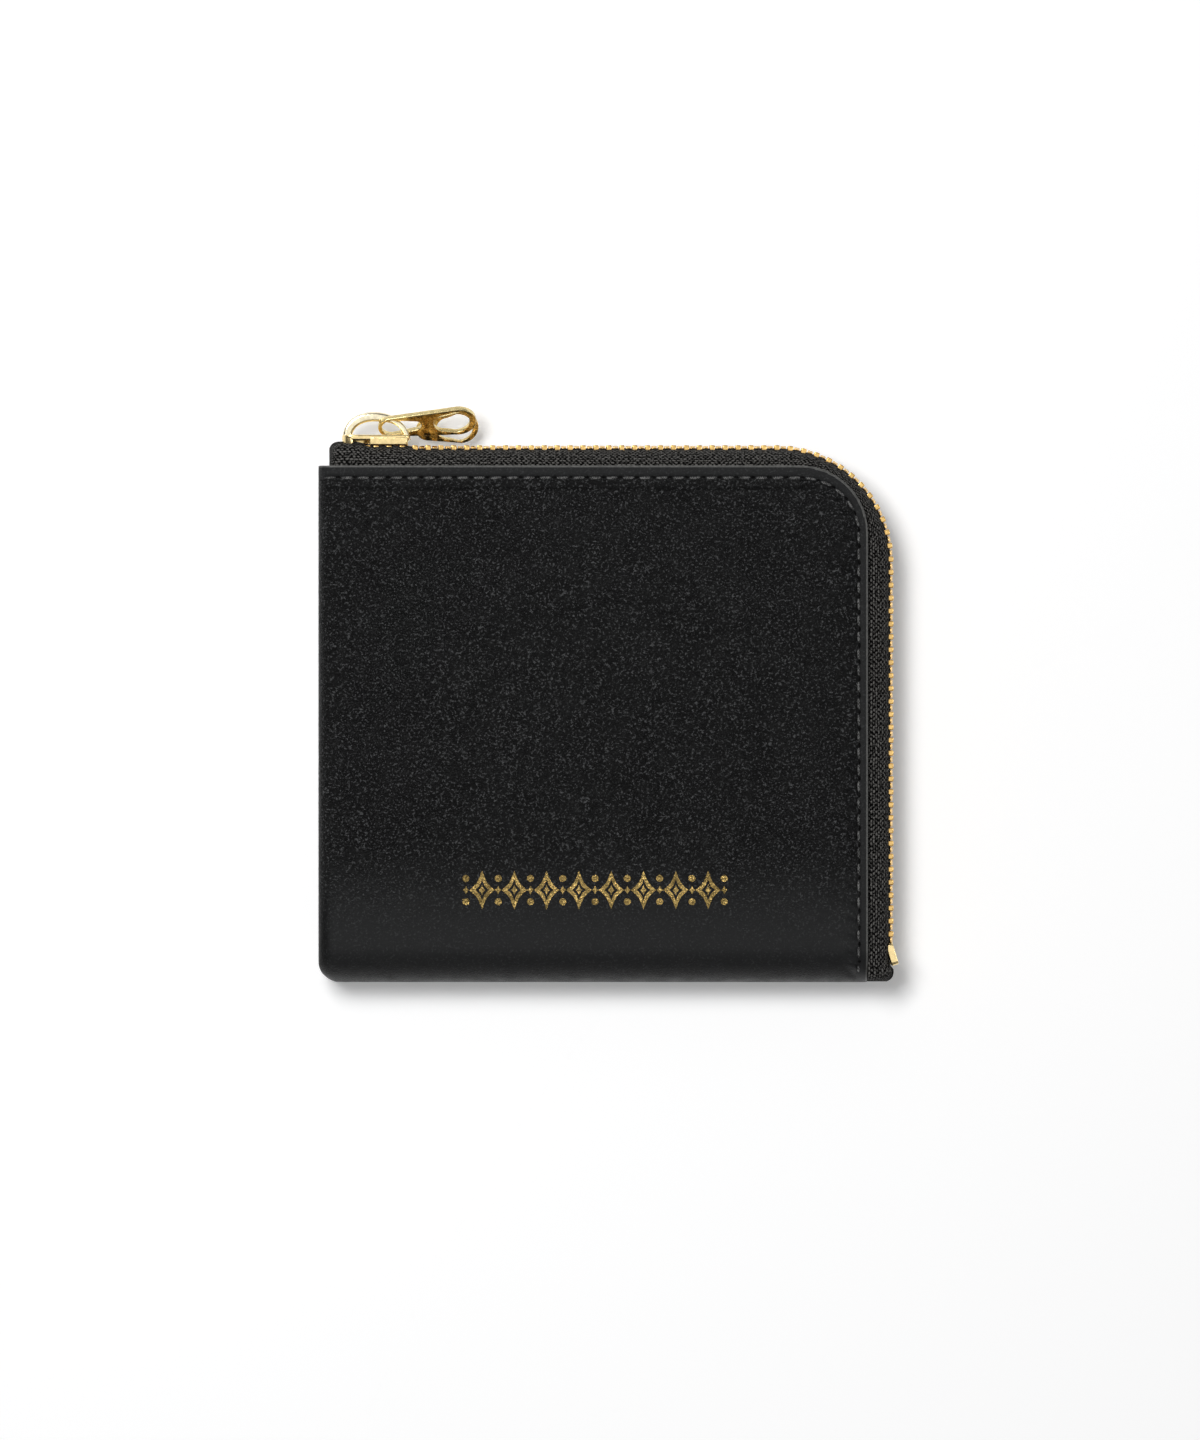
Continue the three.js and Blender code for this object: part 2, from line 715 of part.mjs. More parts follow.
const pull = new THREE.Group();
pull.position.set(...PULL.pivot);
const front = part("pull_front_leaf", frontLeaf(), goldPlate);
front.rotation.set(...PULL.frontTurn, "ZYX");
const rear = part("pull_rear_leaf", rearLeaf(), goldPlate);
rear.position.set(0.3, -0.95, -3.0);
rear.rotation.set(...PULL.rearTurn, "ZYX");
pull.add(front, rear);
wallet.add(pull);

export default wallet;
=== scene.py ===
"""Zip around wallet: leather covers, woven zip tapes, metal zip, slider and pull, lining and pockets."""

import json
import math

import bpy
from mathutils import Matrix, Vector


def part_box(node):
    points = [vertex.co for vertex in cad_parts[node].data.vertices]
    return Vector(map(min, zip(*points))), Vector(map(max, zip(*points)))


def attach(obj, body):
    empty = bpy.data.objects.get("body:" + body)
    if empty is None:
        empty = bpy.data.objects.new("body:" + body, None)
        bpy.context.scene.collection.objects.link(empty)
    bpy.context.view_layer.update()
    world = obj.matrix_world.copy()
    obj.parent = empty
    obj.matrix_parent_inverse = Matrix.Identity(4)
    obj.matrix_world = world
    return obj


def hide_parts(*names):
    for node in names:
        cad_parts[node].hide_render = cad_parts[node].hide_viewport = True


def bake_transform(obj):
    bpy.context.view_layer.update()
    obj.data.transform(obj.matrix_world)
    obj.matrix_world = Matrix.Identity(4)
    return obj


bl_info = {
    "name": "Zip Around Wallet",
    "version": (1, 0, 0),
    "blender": (4, 5, 0),
    "location": "3D View > Sidebar > Wallet",
    "description": "Builds a compact leather wallet with an L-shaped metal zip around the packed frame",
    "category": "Add Mesh",
}

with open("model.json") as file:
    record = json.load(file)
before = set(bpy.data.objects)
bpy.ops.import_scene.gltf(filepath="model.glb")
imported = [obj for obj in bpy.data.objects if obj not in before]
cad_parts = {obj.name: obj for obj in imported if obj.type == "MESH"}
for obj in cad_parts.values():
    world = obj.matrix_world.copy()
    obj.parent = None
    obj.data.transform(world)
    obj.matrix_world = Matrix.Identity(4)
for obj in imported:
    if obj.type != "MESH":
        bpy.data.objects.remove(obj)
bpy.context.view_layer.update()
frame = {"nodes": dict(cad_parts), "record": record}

MM = 0.001


def in_mm(node):
    """The lowest and highest corner of a frame node, in millimetres."""
    return [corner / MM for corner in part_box(node)]


def joint(name):
    return next(j for j in frame["record"]["behaviour"]["joints"] if j["name"] == name)


# The frame's own places, in millimetres, that every piece is built from.
LOW, HIGH = in_mm("outer_cover")
LEFT, BOTTOM = LOW.x, LOW.y
RIGHT, TOP, FRONT = HIGH
MID = FRONT / 2
CORNER = 13.0
FOLD = 7.0
TURN = 3.0
HEEL = 4.0
SEAM_START = LEFT + 0.7
SEAM_END = BOTTOM + 1.2
FOIL_THICK = 0.04
LOZENGES = 8

TOOTH_REACH = 1.2
TOOTH_LONG = 0.35
CHAIN_RIGHT = in_mm("back_teeth")[1].x - TOOTH_REACH
CHAIN_TOP = in_mm("back_teeth")[1].y - TOOTH_REACH
CHAIN_BEND = 20.8
BEND_X = CHAIN_RIGHT - CHAIN_BEND
BEND_Y = CHAIN_TOP - CHAIN_BEND
BEND_END = BEND_X + CHAIN_BEND * math.pi / 2

TAPE_HIGH = 7.95
TAPE_DROP = 4.3
TAPE_ROUND = 1.6
TAPE_START = in_mm("back_tape")[0].x
TAPE_END = BEND_END + BEND_Y - in_mm("back_tape")[0].y
ROW_START = in_mm("back_teeth")[0].x + 0.57
ROW_END = BEND_END + BEND_Y - in_mm("back_teeth")[0].y

CREASE = joint("mouth_open")["pos_m"]

SLIDER_LOW, SLIDER_HIGH = in_mm("slider_body")
SLIDER_X = (SLIDER_LOW.x + SLIDER_HIGH.x) / 2
PIVOT = Vector(joint("pull_swing")["pos_m"]) / MM


# ---- settings -----------------------------------------------------------------------------------
def length(name, description, default, **limits):
    return bpy.props.FloatProperty(
        name=name, description=description, default=default, unit="LENGTH", precision=5, **limits
    )


def colour(name, description, default):
    return bpy.props.FloatVectorProperty(
        name=name, description=description, default=default, subtype="COLOR", size=3, min=0, max=1
    )


class WalletSizes(bpy.types.PropertyGroup):
    """Sizes that change the look without leaving the frame"""

    leather: length("Leather", "Thickness of the outer leather", 0.0014, min=0.0005, max=0.0018)
    puff: length("Puff", "How far the front swells in the middle", 0.0007, min=0, max=0.003)
    seam_side: length("Side seam inset", "Stitching inside the short cut edge", 0.0018, min=0.001, max=0.004)
    seam_top: length("Top seam inset", "Stitching inside the long cut edge", 0.0024, min=0.001, max=0.004)
    stitch: length("Stitch length", "Length of thread that shows", 0.0025, min=0.001, max=0.006)
    stitch_pitch: length("Stitch pitch", "From stitch to stitch", 0.00315, min=0.0015, max=0.008)
    thread: length("Thread", "Thickness of the thread", 0.0005, min=0.0002, max=0.001)
    tape: length("Tape", "Thickness of the zip tape", 0.0006, min=0.0003, max=0.001)
    tooth_pitch: length("Tooth pitch", "From tooth to tooth on one tape", 0.00248, min=0.002, max=0.004)
    foil_width: length("Foil width", "Width of the foil ornament", 0.0494, min=0.01, max=0.08)
    foil_height: length("Foil height", "Height of the foil ornament", 0.0074, min=0.002, max=0.02)


class WalletColours(bpy.types.PropertyGroup):
    """Colours of the wallet's finishes"""

    leather: colour("Leather", "Outer leather", (0.0043, 0.0044, 0.0045))
    pocket: colour("Pocket leather", "Leather of the pockets inside", (0.016, 0.0155, 0.015))
    # The cut edge's light grey is partly the edge paint and partly a painted highlight on the rim.
    edge: colour("Edge coat and highlight", "Paint on the cut leather edge, lighter as a painted highlight on the rim", (0.066, 0.066, 0.062))
    lining: colour("Lining", "Woven lining", (0.012, 0.012, 0.013))
    tape: colour("Zip tape", "Woven zip tape", (0.006, 0.0058, 0.0055))
    thread: colour("Thread", "Seam thread", (0.027, 0.027, 0.0265))
    brass: colour("Teeth", "Metal of the teeth and stops", (0.86, 0.56, 0.2))
    gold: colour("Gold plate", "Plating of the slider and the bottom stop", (0.95, 0.74, 0.37))
    # Painted highlight: the bridge is the slider's plating made paler, for the hot light it catches.
    bridge: colour("Bridge", "Polished plating of the bridge, paler as a painted highlight", (0.99, 0.87, 0.62))
    pull: colour("Pull", "Metal of the pull", (0.74, 0.6, 0.3))
    foil: colour("Foil", "Foil ornament on the front", (0.83, 0.58, 0.2))
    floor: colour("Floor", "Plain floor", (0.9, 0.9, 0.9))


def sizes():
    return bpy.context.scene.wallet_sizes


def colours():
    return bpy.context.scene.wallet_colours


# ---- places on the wallet -----------------------------------------------------------------------
def smooth(t):
    t = min(1.0, max(0.0, t))
    return t * t * (3 - 2 * t)


def between(a, b, count):
    return [a + (b - a) * k / count for k in range(count + 1)]


def edge_distance(x, y):
    """How far a plan point lies inside the zipped edges of the leather."""
    over_x, over_y = x - (RIGHT - CORNER), y - (TOP - CORNER)
    if over_x > 0 and over_y > 0:
        return CORNER - math.hypot(over_x, over_y)
    return min(RIGHT - x, TOP - y)


def seam_length(x, y):
    """How far along the zipped edge a plan point lies, from the left end of the long edge."""
    over_x, over_y = x - (RIGHT - CORNER), y - (TOP - CORNER)
    straight = RIGHT - CORNER - LEFT
    if over_x > 0 and over_y > 0:
        return straight + (CORNER - 1.9) * math.atan2(over_x, over_y)
    if over_x * math.copysign(1, over_x - over_y) > 0 or RIGHT - x < TOP - y:
        return straight + (CORNER - 1.9) * math.pi / 2 + (TOP - CORNER - y)
    return x - LEFT


def seam_inset(x, y):
    """How far inside the cut edge the stitching runs, wider along the long edge than the short one."""
    top, side = sizes().seam_top / MM, sizes().seam_side / MM
    over_x, over_y = x - (RIGHT - CORNER), y - (TOP - CORNER)
    if over_x > 0 and over_y > 0:
        turned = math.atan2(over_x, over_y) / (math.pi / 2)
    else:
        turned = 1.0 if RIGHT - x < TOP - y else 0.0
    return top + (side - top) * smooth(turned)


def relief(x, y):
    """The front leather's soft swelling, pressed border and seam groove, in millimetres."""
    u = (x - LEFT) / (RIGHT - LEFT)
    v = (y - BOTTOM) / (TOP - BOTTOM)
    swell = sizes().puff / MM * (16 * max(0, u * (1 - u) * v * (1 - v))) ** 0.55
    inside = edge_distance(x, y)
    beyond = inside - seam_inset(x, y)
    border = -0.22 * (1 - smooth((beyond + 0.4) / 1.3))
    groove = -0.3 * math.exp(-(((beyond + 0.12) / 0.4) ** 2))
    rim = -0.2 * (1 - math.sqrt(1 - (1 - min(1, max(0, inside) / 0.35)) ** 2))
    return swell + border + groove + rim


def round_corner(x, y):
    """Moves plan points near the heel and the zipped corner onto their round outlines."""
    for cx, cy, radius, side in (
        (LEFT + HEEL, BOTTOM + HEEL, HEEL, -1),
        (RIGHT - CORNER, TOP - CORNER, CORNER, 1),
    ):
        dx, dy = side * (x - cx) / radius, side * (y - cy) / radius
        if dx > 0 and dy > 0:
            x = cx + side * radius * dx * math.sqrt(1 - min(1, dy * dy) / 2)
            y = cy + side * radius * dy * math.sqrt(1 - min(1, dx * dx) / 2)
    return x, y


def front_height(x, y):
    """Height of the front leather at a plan point, with the turned seam and the fold."""
    share = 1.0
    if x < LEFT + TURN:
        drop = TURN - math.sqrt(max(0, TURN**2 - (LEFT + TURN - x) ** 2))
        share *= (FRONT - drop - MID) / (FRONT - MID)
    if y < BOTTOM + FOLD:
        share *= math.sqrt(max(0, 1 - ((BOTTOM + FOLD - y) / FOLD) ** 2))
    return MID + (FRONT - MID) * share + relief(x, y) * share


def on_chain(s):
    """The chain's middle, the leather edge beside it and the outward direction, s along the chain."""
    if s <= BEND_X:
        return Vector((s, CHAIN_TOP)), Vector((s, TOP)), Vector((0, 1))
    if s >= BEND_END:
        y = BEND_Y - (s - BEND_END)
        return Vector((CHAIN_RIGHT, y)), Vector((RIGHT, y)), Vector((1, 0))
    angle = math.pi / 2 - (s - BEND_X) / CHAIN_BEND
    out = Vector((math.cos(angle), math.sin(angle)))
    centre = Vector((BEND_X, BEND_Y))
    to_corner = Vector((RIGHT - CORNER, TOP - CORNER)) - centre
    reach = min((TOP - BEND_Y) / max(out.y, 1e-6), (RIGHT - BEND_X) / max(out.x, 1e-6))
    edge = centre + out * reach
    if edge.x > RIGHT - CORNER and edge.y > TOP - CORNER:
        along = out.dot(to_corner)
        edge = centre + out * (along + math.sqrt(CORNER**2 - to_corner.length_squared + along**2))
    return centre + out * CHAIN_BEND, edge, out


# ---- modelling helpers --------------------------------------------------------------------------
def only(piece):
    bpy.ops.object.select_all(action="DESELECT")
    piece.select_set(True)
    bpy.context.view_layer.objects.active = piece


def edit(piece, *steps):
    """Runs edit mode steps on the whole of a piece."""
    only(piece)
    bpy.ops.object.mode_set(mode="EDIT")
    bpy.ops.mesh.select_all(action="SELECT")
    for step in steps:
        step()
    bpy.ops.object.mode_set(mode="OBJECT")


def weld():
    bpy.ops.mesh.remove_doubles(threshold=2e-6)


def face_out():
    bpy.ops.mesh.normals_make_consistent(inside=False)


def close_ends():
    bpy.ops.mesh.select_all(action="DESELECT")
    bpy.ops.mesh.select_mode(type="EDGE")
    bpy.ops.mesh.select_non_manifold()
    bpy.ops.mesh.edge_face_add()
    bpy.ops.mesh.select_mode(type="VERT")
    bpy.ops.mesh.select_all(action="SELECT")


def modify(piece, kind, **values):
    modifier = piece.modifiers.new(kind.title(), kind)
    for key, value in values.items():
        setattr(modifier, key, value)
    only(piece)
    bpy.ops.object.modifier_apply(modifier=modifier.name)


def soften(piece, degrees=35):
    only(piece)
    bpy.ops.object.shade_smooth_by_angle(angle=math.radians(degrees))


def spread(name, columns, rows, place, uv=None):
    """Adds a grid and lays point (i, j) of its columns and rows at place(i, j), in millimetres."""
    bpy.ops.object.select_all(action="DESELECT")
    bpy.ops.mesh.primitive_grid_add(x_subdivisions=columns, y_subdivisions=rows, size=1)
    piece = bpy.context.object
    piece.name = piece.data.name = name
    mesh = piece.data
    spots = []
    for vertex in mesh.vertices:
        i = round((vertex.co.x + 0.5) * columns)
        j = round((vertex.co.y + 0.5) * rows)
        spots.append((i, j))
        vertex.co = Vector(place(i, j)) * MM
    if uv:
        layer = mesh.uv_layers.active.data
        for loop in mesh.loops:
            layer[loop.index].uv = uv(*spots[loop.vertex_index])
    return piece


def tube(name, path, section):
    """Sweeps a closed section along a path of (point, across, up, scale)."""

    def place(i, j):
        point, across, up, scale = path[i]
        a, b = section[j % len(section)]
        return point + across * a * scale + up * b * scale

    piece = spread(name, len(path) - 1, len(section), place)
    edit(piece, weld, close_ends, face_out)
    return piece


def filled(name, loops, thickness, bevel=0.0):
    """Fills closed outlines to a thickness; an outline inside another is a hole."""
    curve = bpy.data.curves.new(name, "CURVE")
    curve.dimensions = "2D"
    curve.fill_mode = "BOTH"
    curve.extrude = (thickness / 2 - bevel) * MM
    curve.bevel_depth = bevel * MM
    curve.bevel_resolution = 2
    curve.offset = -bevel * MM
    for outline in loops:
        spline = curve.splines.new("POLY")
        spline.points.add(len(outline) - 1)
        for point, (x, y) in zip(spline.points, outline):
            point.co = (x * MM, y * MM, 0, 1)
        spline.use_cyclic_u = True
    piece = bpy.data.objects.new(name, curve)
    bpy.context.scene.collection.objects.link(piece)
    only(piece)
    bpy.ops.object.convert(target="MESH")
    piece = bpy.context.object
    edit(piece, weld, face_out)
    return piece


def flat_plate(name, loops, thickness, bevel):
    """Makes a plate with rounded edges from closed outlines; the ones after the first are holes."""
    piece = filled(name, loops, thickness, bevel)
    soften(piece, 40)
    return piece


def settle(piece, matrix):
    """Moves a piece's mesh by a matrix whose shift is in millimetres; the object stays at the origin."""
    place = matrix.copy()
    place.translation *= MM
    piece.data.transform(place)
    if place.determinant() < 0:
        edit(piece, face_out)
    return piece


def copies(name, model, matrices):
    """Joins one copy of a modelled piece for each place into a single piece."""
    made = []
    for matrix in matrices:
        copy = model.copy()
        copy.data = model.data.copy()
        bpy.context.scene.collection.objects.link(copy)
        made.append(settle(copy, matrix))
    bpy.data.objects.remove(model)
    return joined(name, made)


def joined(name, parts):
    bpy.ops.object.select_all(action="DESELECT")
    for part in parts:
        part.select_set(True)
    bpy.context.view_layer.objects.active = parts[0]
    bpy.ops.object.join()
    piece = bpy.context.object
    piece.name = piece.data.name = name
    return piece


def oriented(point, along, up):
    """A matrix whose X runs along and whose Z runs close to up."""
    x = along.normalized()
    y = up.cross(x).normalized()
    z = x.cross(y)
    matrix = Matrix((x, y, z)).transposed().to_4x4()
    matrix.translation = point
    return matrix


def arc(cx, cy, radius, start, end, steps):
    return [
        (
            cx + radius * math.cos(math.radians(start + (end - start) * k / steps)),
            cy + radius * math.sin(math.radians(start + (end - start) * k / steps)),
        )
        for k in range(steps + 1)
    ]


def finish(piece, body, slot, *materials):
    for material in materials:
        piece.data.materials.append(material)
    if body:
        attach(piece, body)
    return piece


def bends_with_the_mouth(piece):
    """Bakes a front piece's placement into its mesh; the crease point is read but not used."""
    start = Vector(CREASE)
    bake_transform(piece)
    return piece


# ---- materials ----------------------------------------------------------------------------------
class Graph:
    """Adds and links nodes in one shader tree."""

    def __init__(self, tree):
        self.tree = tree
        self.nodes = tree.nodes

    def add(self, kind, inputs=None, **values):
        node = self.nodes.new(kind)
        for key, value in values.items():
            setattr(node, key, value)
        for key, value in (inputs or {}).items():
            if isinstance(value, bpy.types.NodeSocket):
                self.tree.links.new(value, node.inputs[key])
            else:
                node.inputs[key].default_value = value
        return node

    def link(self, output, socket):
        self.tree.links.new(output, socket)

    def math(self, operation, a, b=0.0):
        return self.add("ShaderNodeMath", {0: a, 1: b}, operation=operation).outputs[0]

    def times(self, a, b):
        return self.math("MULTIPLY", a, b)

    def plus(self, a, b):
        return self.math("ADD", a, b)

    def in_mm(self, place):
        return self.add("ShaderNodeVectorMath", {0: place, 3: 1000.0}, operation="SCALE").outputs[0]

    def axes(self, place):
        return self.add("ShaderNodeSeparateXYZ", {0: place}).outputs

    def noise(self, place, scale, detail):
        inputs = {"Vector": place, "Scale": scale, "Detail": detail}
        return self.add("ShaderNodeTexNoise", inputs).outputs["Fac"]

    def remap(self, value, low, high, to_low=0.0, to_high=1.0):
        node = self.add(
            "ShaderNodeMapRange",
            {"Value": value, "From Min": low, "From Max": high, "To Min": to_low, "To Max": to_high},
            interpolation_type="SMOOTHSTEP",
        )
        return node.outputs["Result"]

    def mix(self, factor, a, b):
        node = self.add("ShaderNodeMix", {"Factor": factor}, data_type="RGBA")
        for socket, value in ((node.inputs[6], a), (node.inputs[7], b)):
            if isinstance(value, bpy.types.NodeSocket):
                self.tree.links.new(value, socket)
            else:
                socket.default_value = value
        return node.outputs[2]


def effect(name, inputs, outputs):
    """Starts a shared effect: a node group with named inputs and outputs."""
    tree = bpy.data.node_groups.new(name, "ShaderNodeTree")
    for label, kind, default in inputs:
        socket = tree.interface.new_socket(label, in_out="INPUT", socket_type=kind)
        if default is not None:
            socket.default_value = default
    for label in outputs:
        tree.interface.new_socket(label, in_out="OUTPUT", socket_type="NodeSocketFloat")
    graph = Graph(tree)
    return graph, graph.add("NodeGroupInput").outputs, graph.add("NodeGroupOutput").inputs


def leather_grain():
    """Fine pebbled grain with pores, creases and slow changes of tone, and a mask of painted glints on the
    ridge tops that catch the light.
    """
    g, given, out = effect(
        "Leather grain",
        [("Place", "NodeSocketVector", None), ("Cells per mm", "NodeSocketFloat", 1.9)],
        ["Height", "Tone", "Gloss", "Painted glints"],
    )
    place = g.in_mm(given["Place"])
    warp = g.add("ShaderNodeTexNoise", {"Vector": place, "Scale": 0.55, "Detail": 3.0})
    pull = g.add(
        "ShaderNodeVectorMath", {0: warp.outputs["Color"], 1: (0.9, 0.9, 0.9)}, operation="MULTIPLY"
    ).outputs[0]
    bent = g.add("ShaderNodeVectorMath", {0: place, 1: pull}, operation="ADD").outputs[0]
    cells = g.add(
        "ShaderNodeTexVoronoi",
        {"Vector": bent, "Scale": given["Cells per mm"], "Randomness": 0.95},
        feature="DISTANCE_TO_EDGE",
    ).outputs["Distance"]
    pebbles = g.remap(cells, 0.0, 0.28)
    fine = g.noise(place, 5.5, 4.0)
    broad = g.noise(place, 0.085, 4.0)
    patch = g.noise(place, 0.35, 3.0)
    strength = g.remap(patch, 0.3, 0.7, 0.55, 1.0)
    raised = g.times(pebbles, strength)
    height = g.plus(g.times(raised, 0.7), g.times(fine, 0.5))
    g.link(height, out["Height"])
    g.link(broad, out["Tone"])
    g.link(g.plus(g.times(fine, 0.6), g.times(patch, 0.4)), out["Gloss"])
    # Painted glints: ridge tops that catch the light, marked here to be painted lighter into the colour.
    ridges = g.add("ShaderNodeTexNoise", {"Vector": bent, "Scale": 2.3, "Detail": 2.0, "Roughness": 0.7})
    painted_glint_mask = g.remap(ridges.outputs["Fac"], 0.53, 0.68)
    g.link(g.times(painted_glint_mask, g.remap(patch, 0.25, 0.6, 0.45, 1.0)), out["Painted glints"])
    return g.tree


def weave():
    """Over and under threads, counted per millimetre of the piece's own surface."""
    g, given, out = effect(
        "Weave",
        [
            ("Place", "NodeSocketVector", None),
            ("Across per mm", "NodeSocketFloat", 2.0),
            ("Along per mm", "NodeSocketFloat", 2.0),
            ("Slant", "NodeSocketFloat", 0.5),
        ],
        ["Height", "Tone"],
    )
    place = g.in_mm(given["Place"])
    wander = g.noise(place, 1.1, 2.0)
    axes = g.axes(place)
    u = g.plus(g.times(axes[0], given["Along per mm"]), g.times(wander, 0.35))
    v = g.plus(g.times(axes[1], given["Across per mm"]), g.times(wander, 0.3))
    row = g.math("FLOOR", v)
    shifted = g.plus(u, g.times(row, given["Slant"]))
    over = g.math("ABSOLUTE", g.math("SINE", g.times(shifted, math.pi)))
    rib = g.math("ABSOLUTE", g.math("SINE", g.times(v, math.pi)))
    height = g.times(g.math("POWER", over, 0.6), g.math("POWER", rib, 0.5))
    fuzz = g.noise(place, 9.0, 2.0)
    g.link(g.plus(height, g.times(fuzz, 0.35)), out["Height"])
    grains = g.noise(place, 1.8, 2.0)
    mottled = g.plus(g.times(fuzz, 0.2), g.times(g.remap(grains, 0.38, 0.62), 0.42))
    # Tone: the mottled colour plus the strands' height, which paints the raised strands lighter as a painted
    # highlight.
    g.link(g.plus(g.times(height, 0.6), mottled), out["Tone"])
    return g.tree


def metal_wear():
    """Fine scratches and handling marks on plated metal."""
    g, given, out = effect(
        "Metal wear",
        [("Place", "NodeSocketVector", None), ("Scratches", "NodeSocketFloat", 1.0)],
        ["Height", "Tone", "Roughness"],
    )
    place = g.in_mm(given["Place"])
    drawn = g.add("ShaderNodeMapping", {"Vector": place, "Scale": (0.5, 6.0, 6.0)}).outputs[0]
    streak = g.noise(drawn, 2.2, 4.0)
    cloud = g.noise(place, 0.9, 3.0)
    marks = g.times(g.remap(streak, 0.42, 0.72), given["Scratches"])
    g.link(marks, out["Height"])
    g.link(cloud, out["Tone"])
    rough = g.plus(g.times(marks, 0.1), g.times(cloud, 0.12))
    g.link(rough, out["Roughness"])
    return g.tree


def shared(make):
    """Each shared effect is built once and used by every material that needs it."""
    name = make.__name__.replace("_", " ").capitalize()
    return bpy.data.node_groups.get(name) or make()


def once(make):
    """A named material is built the first time it is asked for and shared afterwards."""

    def maker(name, *values, **options):
        return bpy.data.materials.get(name) or make(name, *values, **options)

    return maker


def new_material(name):
    material = bpy.data.materials.new(name)
    material.use_nodes = True
    graph = Graph(material.node_tree)
    shader = material.node_tree.nodes["Principled BSDF"]
    return material, graph, shader


def rgba(value, factor=1.0):
    return (*[min(1.0, part * factor) for part in value], 1.0)


def bumped(graph, shader, height, distance, strength=1.0):
    bump = graph.add(
        "ShaderNodeBump", {"Height": height, "Distance": distance, "Strength": strength}
    ).outputs[0]
    graph.link(bump, shader.inputs["Normal"])


@once
def smooth_leather(name, base, cells=1.9, depth=0.00019, gloss=(0.34, 0.52), painted_glint_gain=18.0, seam=False):
    """Black leather: grain that calms down where the skin is stretched over the fold, soft shine, and glints
    on the grain ridges painted light into its colour; on the outer cover also painted shade on the turned
    left edge and over the fold's curve.
    """
    material, g, shader = new_material(name)
    where = g.add("ShaderNodeTexCoord").outputs
    given = {"Place": where["Object"], "Cells per mm": cells}
    grain = g.add("ShaderNodeGroup", given, node_tree=shared(leather_grain))
    height = grain.outputs["Height"]
    tone = g.remap(grain.outputs["Tone"], 0.3, 0.7)
    tint = g.mix(tone, rgba(base, 0.82), rgba(base, 1.22))
    painted_glint_mask = grain.outputs["Painted glints"]
    if seam:
        axes = g.axes(where["Object"])
        kept = g.remap(axes[1], (BOTTOM + 7) * MM, (BOTTOM + 28) * MM, 0.22, 1.0)
        run = g.add("ShaderNodeUVMap", uv_map="Seam").outputs[0]
        seam_axes = g.axes(run)
        inside = seam_axes[1]
        border = g.remap(inside, -0.0004, 0.0004)
        tint = g.mix(g.math("SUBTRACT", 1.0, kept), tint, rgba(base, 4.6))
        # Painted shade: over the fold's curve, within 4.5 mm of the bottom, the colour stays darker than the
        # band above it.
        tint = g.mix(g.remap(axes[1], BOTTOM * MM, (BOTTOM + 4.5) * MM), rgba(base, 1.0), tint)
        # Painted shade: the colour darkens within 3.2 mm of the turned left edge, where the leather curves
        # away from the light.
        tint = g.mix(g.remap(axes[0], LEFT * MM, (LEFT + 3.2) * MM), rgba(base, 0.2), tint)
        kept = g.times(kept, g.plus(0.3, g.times(border, 0.7)))
        height = g.times(height, kept)
        painted_glint_mask = g.times(painted_glint_mask, kept)
        turns = g.times(seam_axes[0], 2 * math.pi / sizes().stitch_pitch)
        lean = g.plus(turns, g.times(inside, 1100.0))
        pucker = g.times(g.math("SINE", lean), g.remap(inside, 0.0001, 0.0006))
        pucker = g.times(pucker, g.remap(inside, 0.0034, 0.001))
        height = g.plus(height, g.times(pucker, 1.0))
        tint = g.mix(g.math("SUBTRACT", 1.0, border), tint, rgba(base, 3.6))
    # Painted glints: the ridge tops that catch the light are painted much lighter into the colour.
    tint = g.mix(painted_glint_mask, tint, rgba(base, painted_glint_gain))
    g.link(tint, shader.inputs["Base Color"])
    shine = g.remap(grain.outputs["Gloss"], 0.35, 0.65, *gloss)
    g.link(shine, shader.inputs["Roughness"])
    shader.inputs["Specular IOR Level"].default_value = 0.1
    bumped(g, shader, height, depth)
    return material


@once
def woven(
    name, base, across, along, slant, depth, bright=7.0, on_surface=True, rough=0.62, shine=0.15, low=0.3
):
    """Cloth or thread whose raised strands catch the light, painted lighter into the colour as a painted
    highlight over a mottled tone, counted per millimetre.
    """
    material, g, shader = new_material(name)
    where = g.add("ShaderNodeTexCoord").outputs["UV" if on_surface else "Object"]
    given = {"Place": where, "Across per mm": across, "Along per mm": along, "Slant": slant}
    cloth = g.add("ShaderNodeGroup", given, node_tree=shared(weave))
    tone = g.remap(cloth.outputs["Tone"], low, 1.05)
    # Painted highlight: the raised strands are painted up to bright times lighter than the base.
    g.link(g.mix(tone, rgba(base, 0.3), rgba(base, bright)), shader.inputs["Base Color"])
    g.link(g.remap(cloth.outputs["Tone"], 0.2, 1.0, rough + 0.2, rough), shader.inputs["Roughness"])
    shader.inputs["Specular IOR Level"].default_value = shine
    bumped(g, shader, cloth.outputs["Height"], depth)
    return material


@once
def plated(name, base, rough=0.12, scratches=1.0, depth=0.000006):
    """Plated metal: bright, with fine scratches and slow changes of polish."""
    material, g, shader = new_material(name)
    where = g.add("ShaderNodeTexCoord").outputs["Object"]
    wear = g.add("ShaderNodeGroup", {"Place": where, "Scratches": scratches}, node_tree=shared(metal_wear))
    tone = g.remap(wear.outputs["Tone"], 0.35, 0.65)
    g.link(g.mix(tone, rgba(base, 0.86), rgba(base, 1.06)), shader.inputs["Base Color"])
    g.link(g.plus(wear.outputs["Roughness"], rough), shader.inputs["Roughness"])
    shader.inputs["Metallic"].default_value = 1.0
    bumped(g, shader, wear.outputs["Height"], depth)
    return material


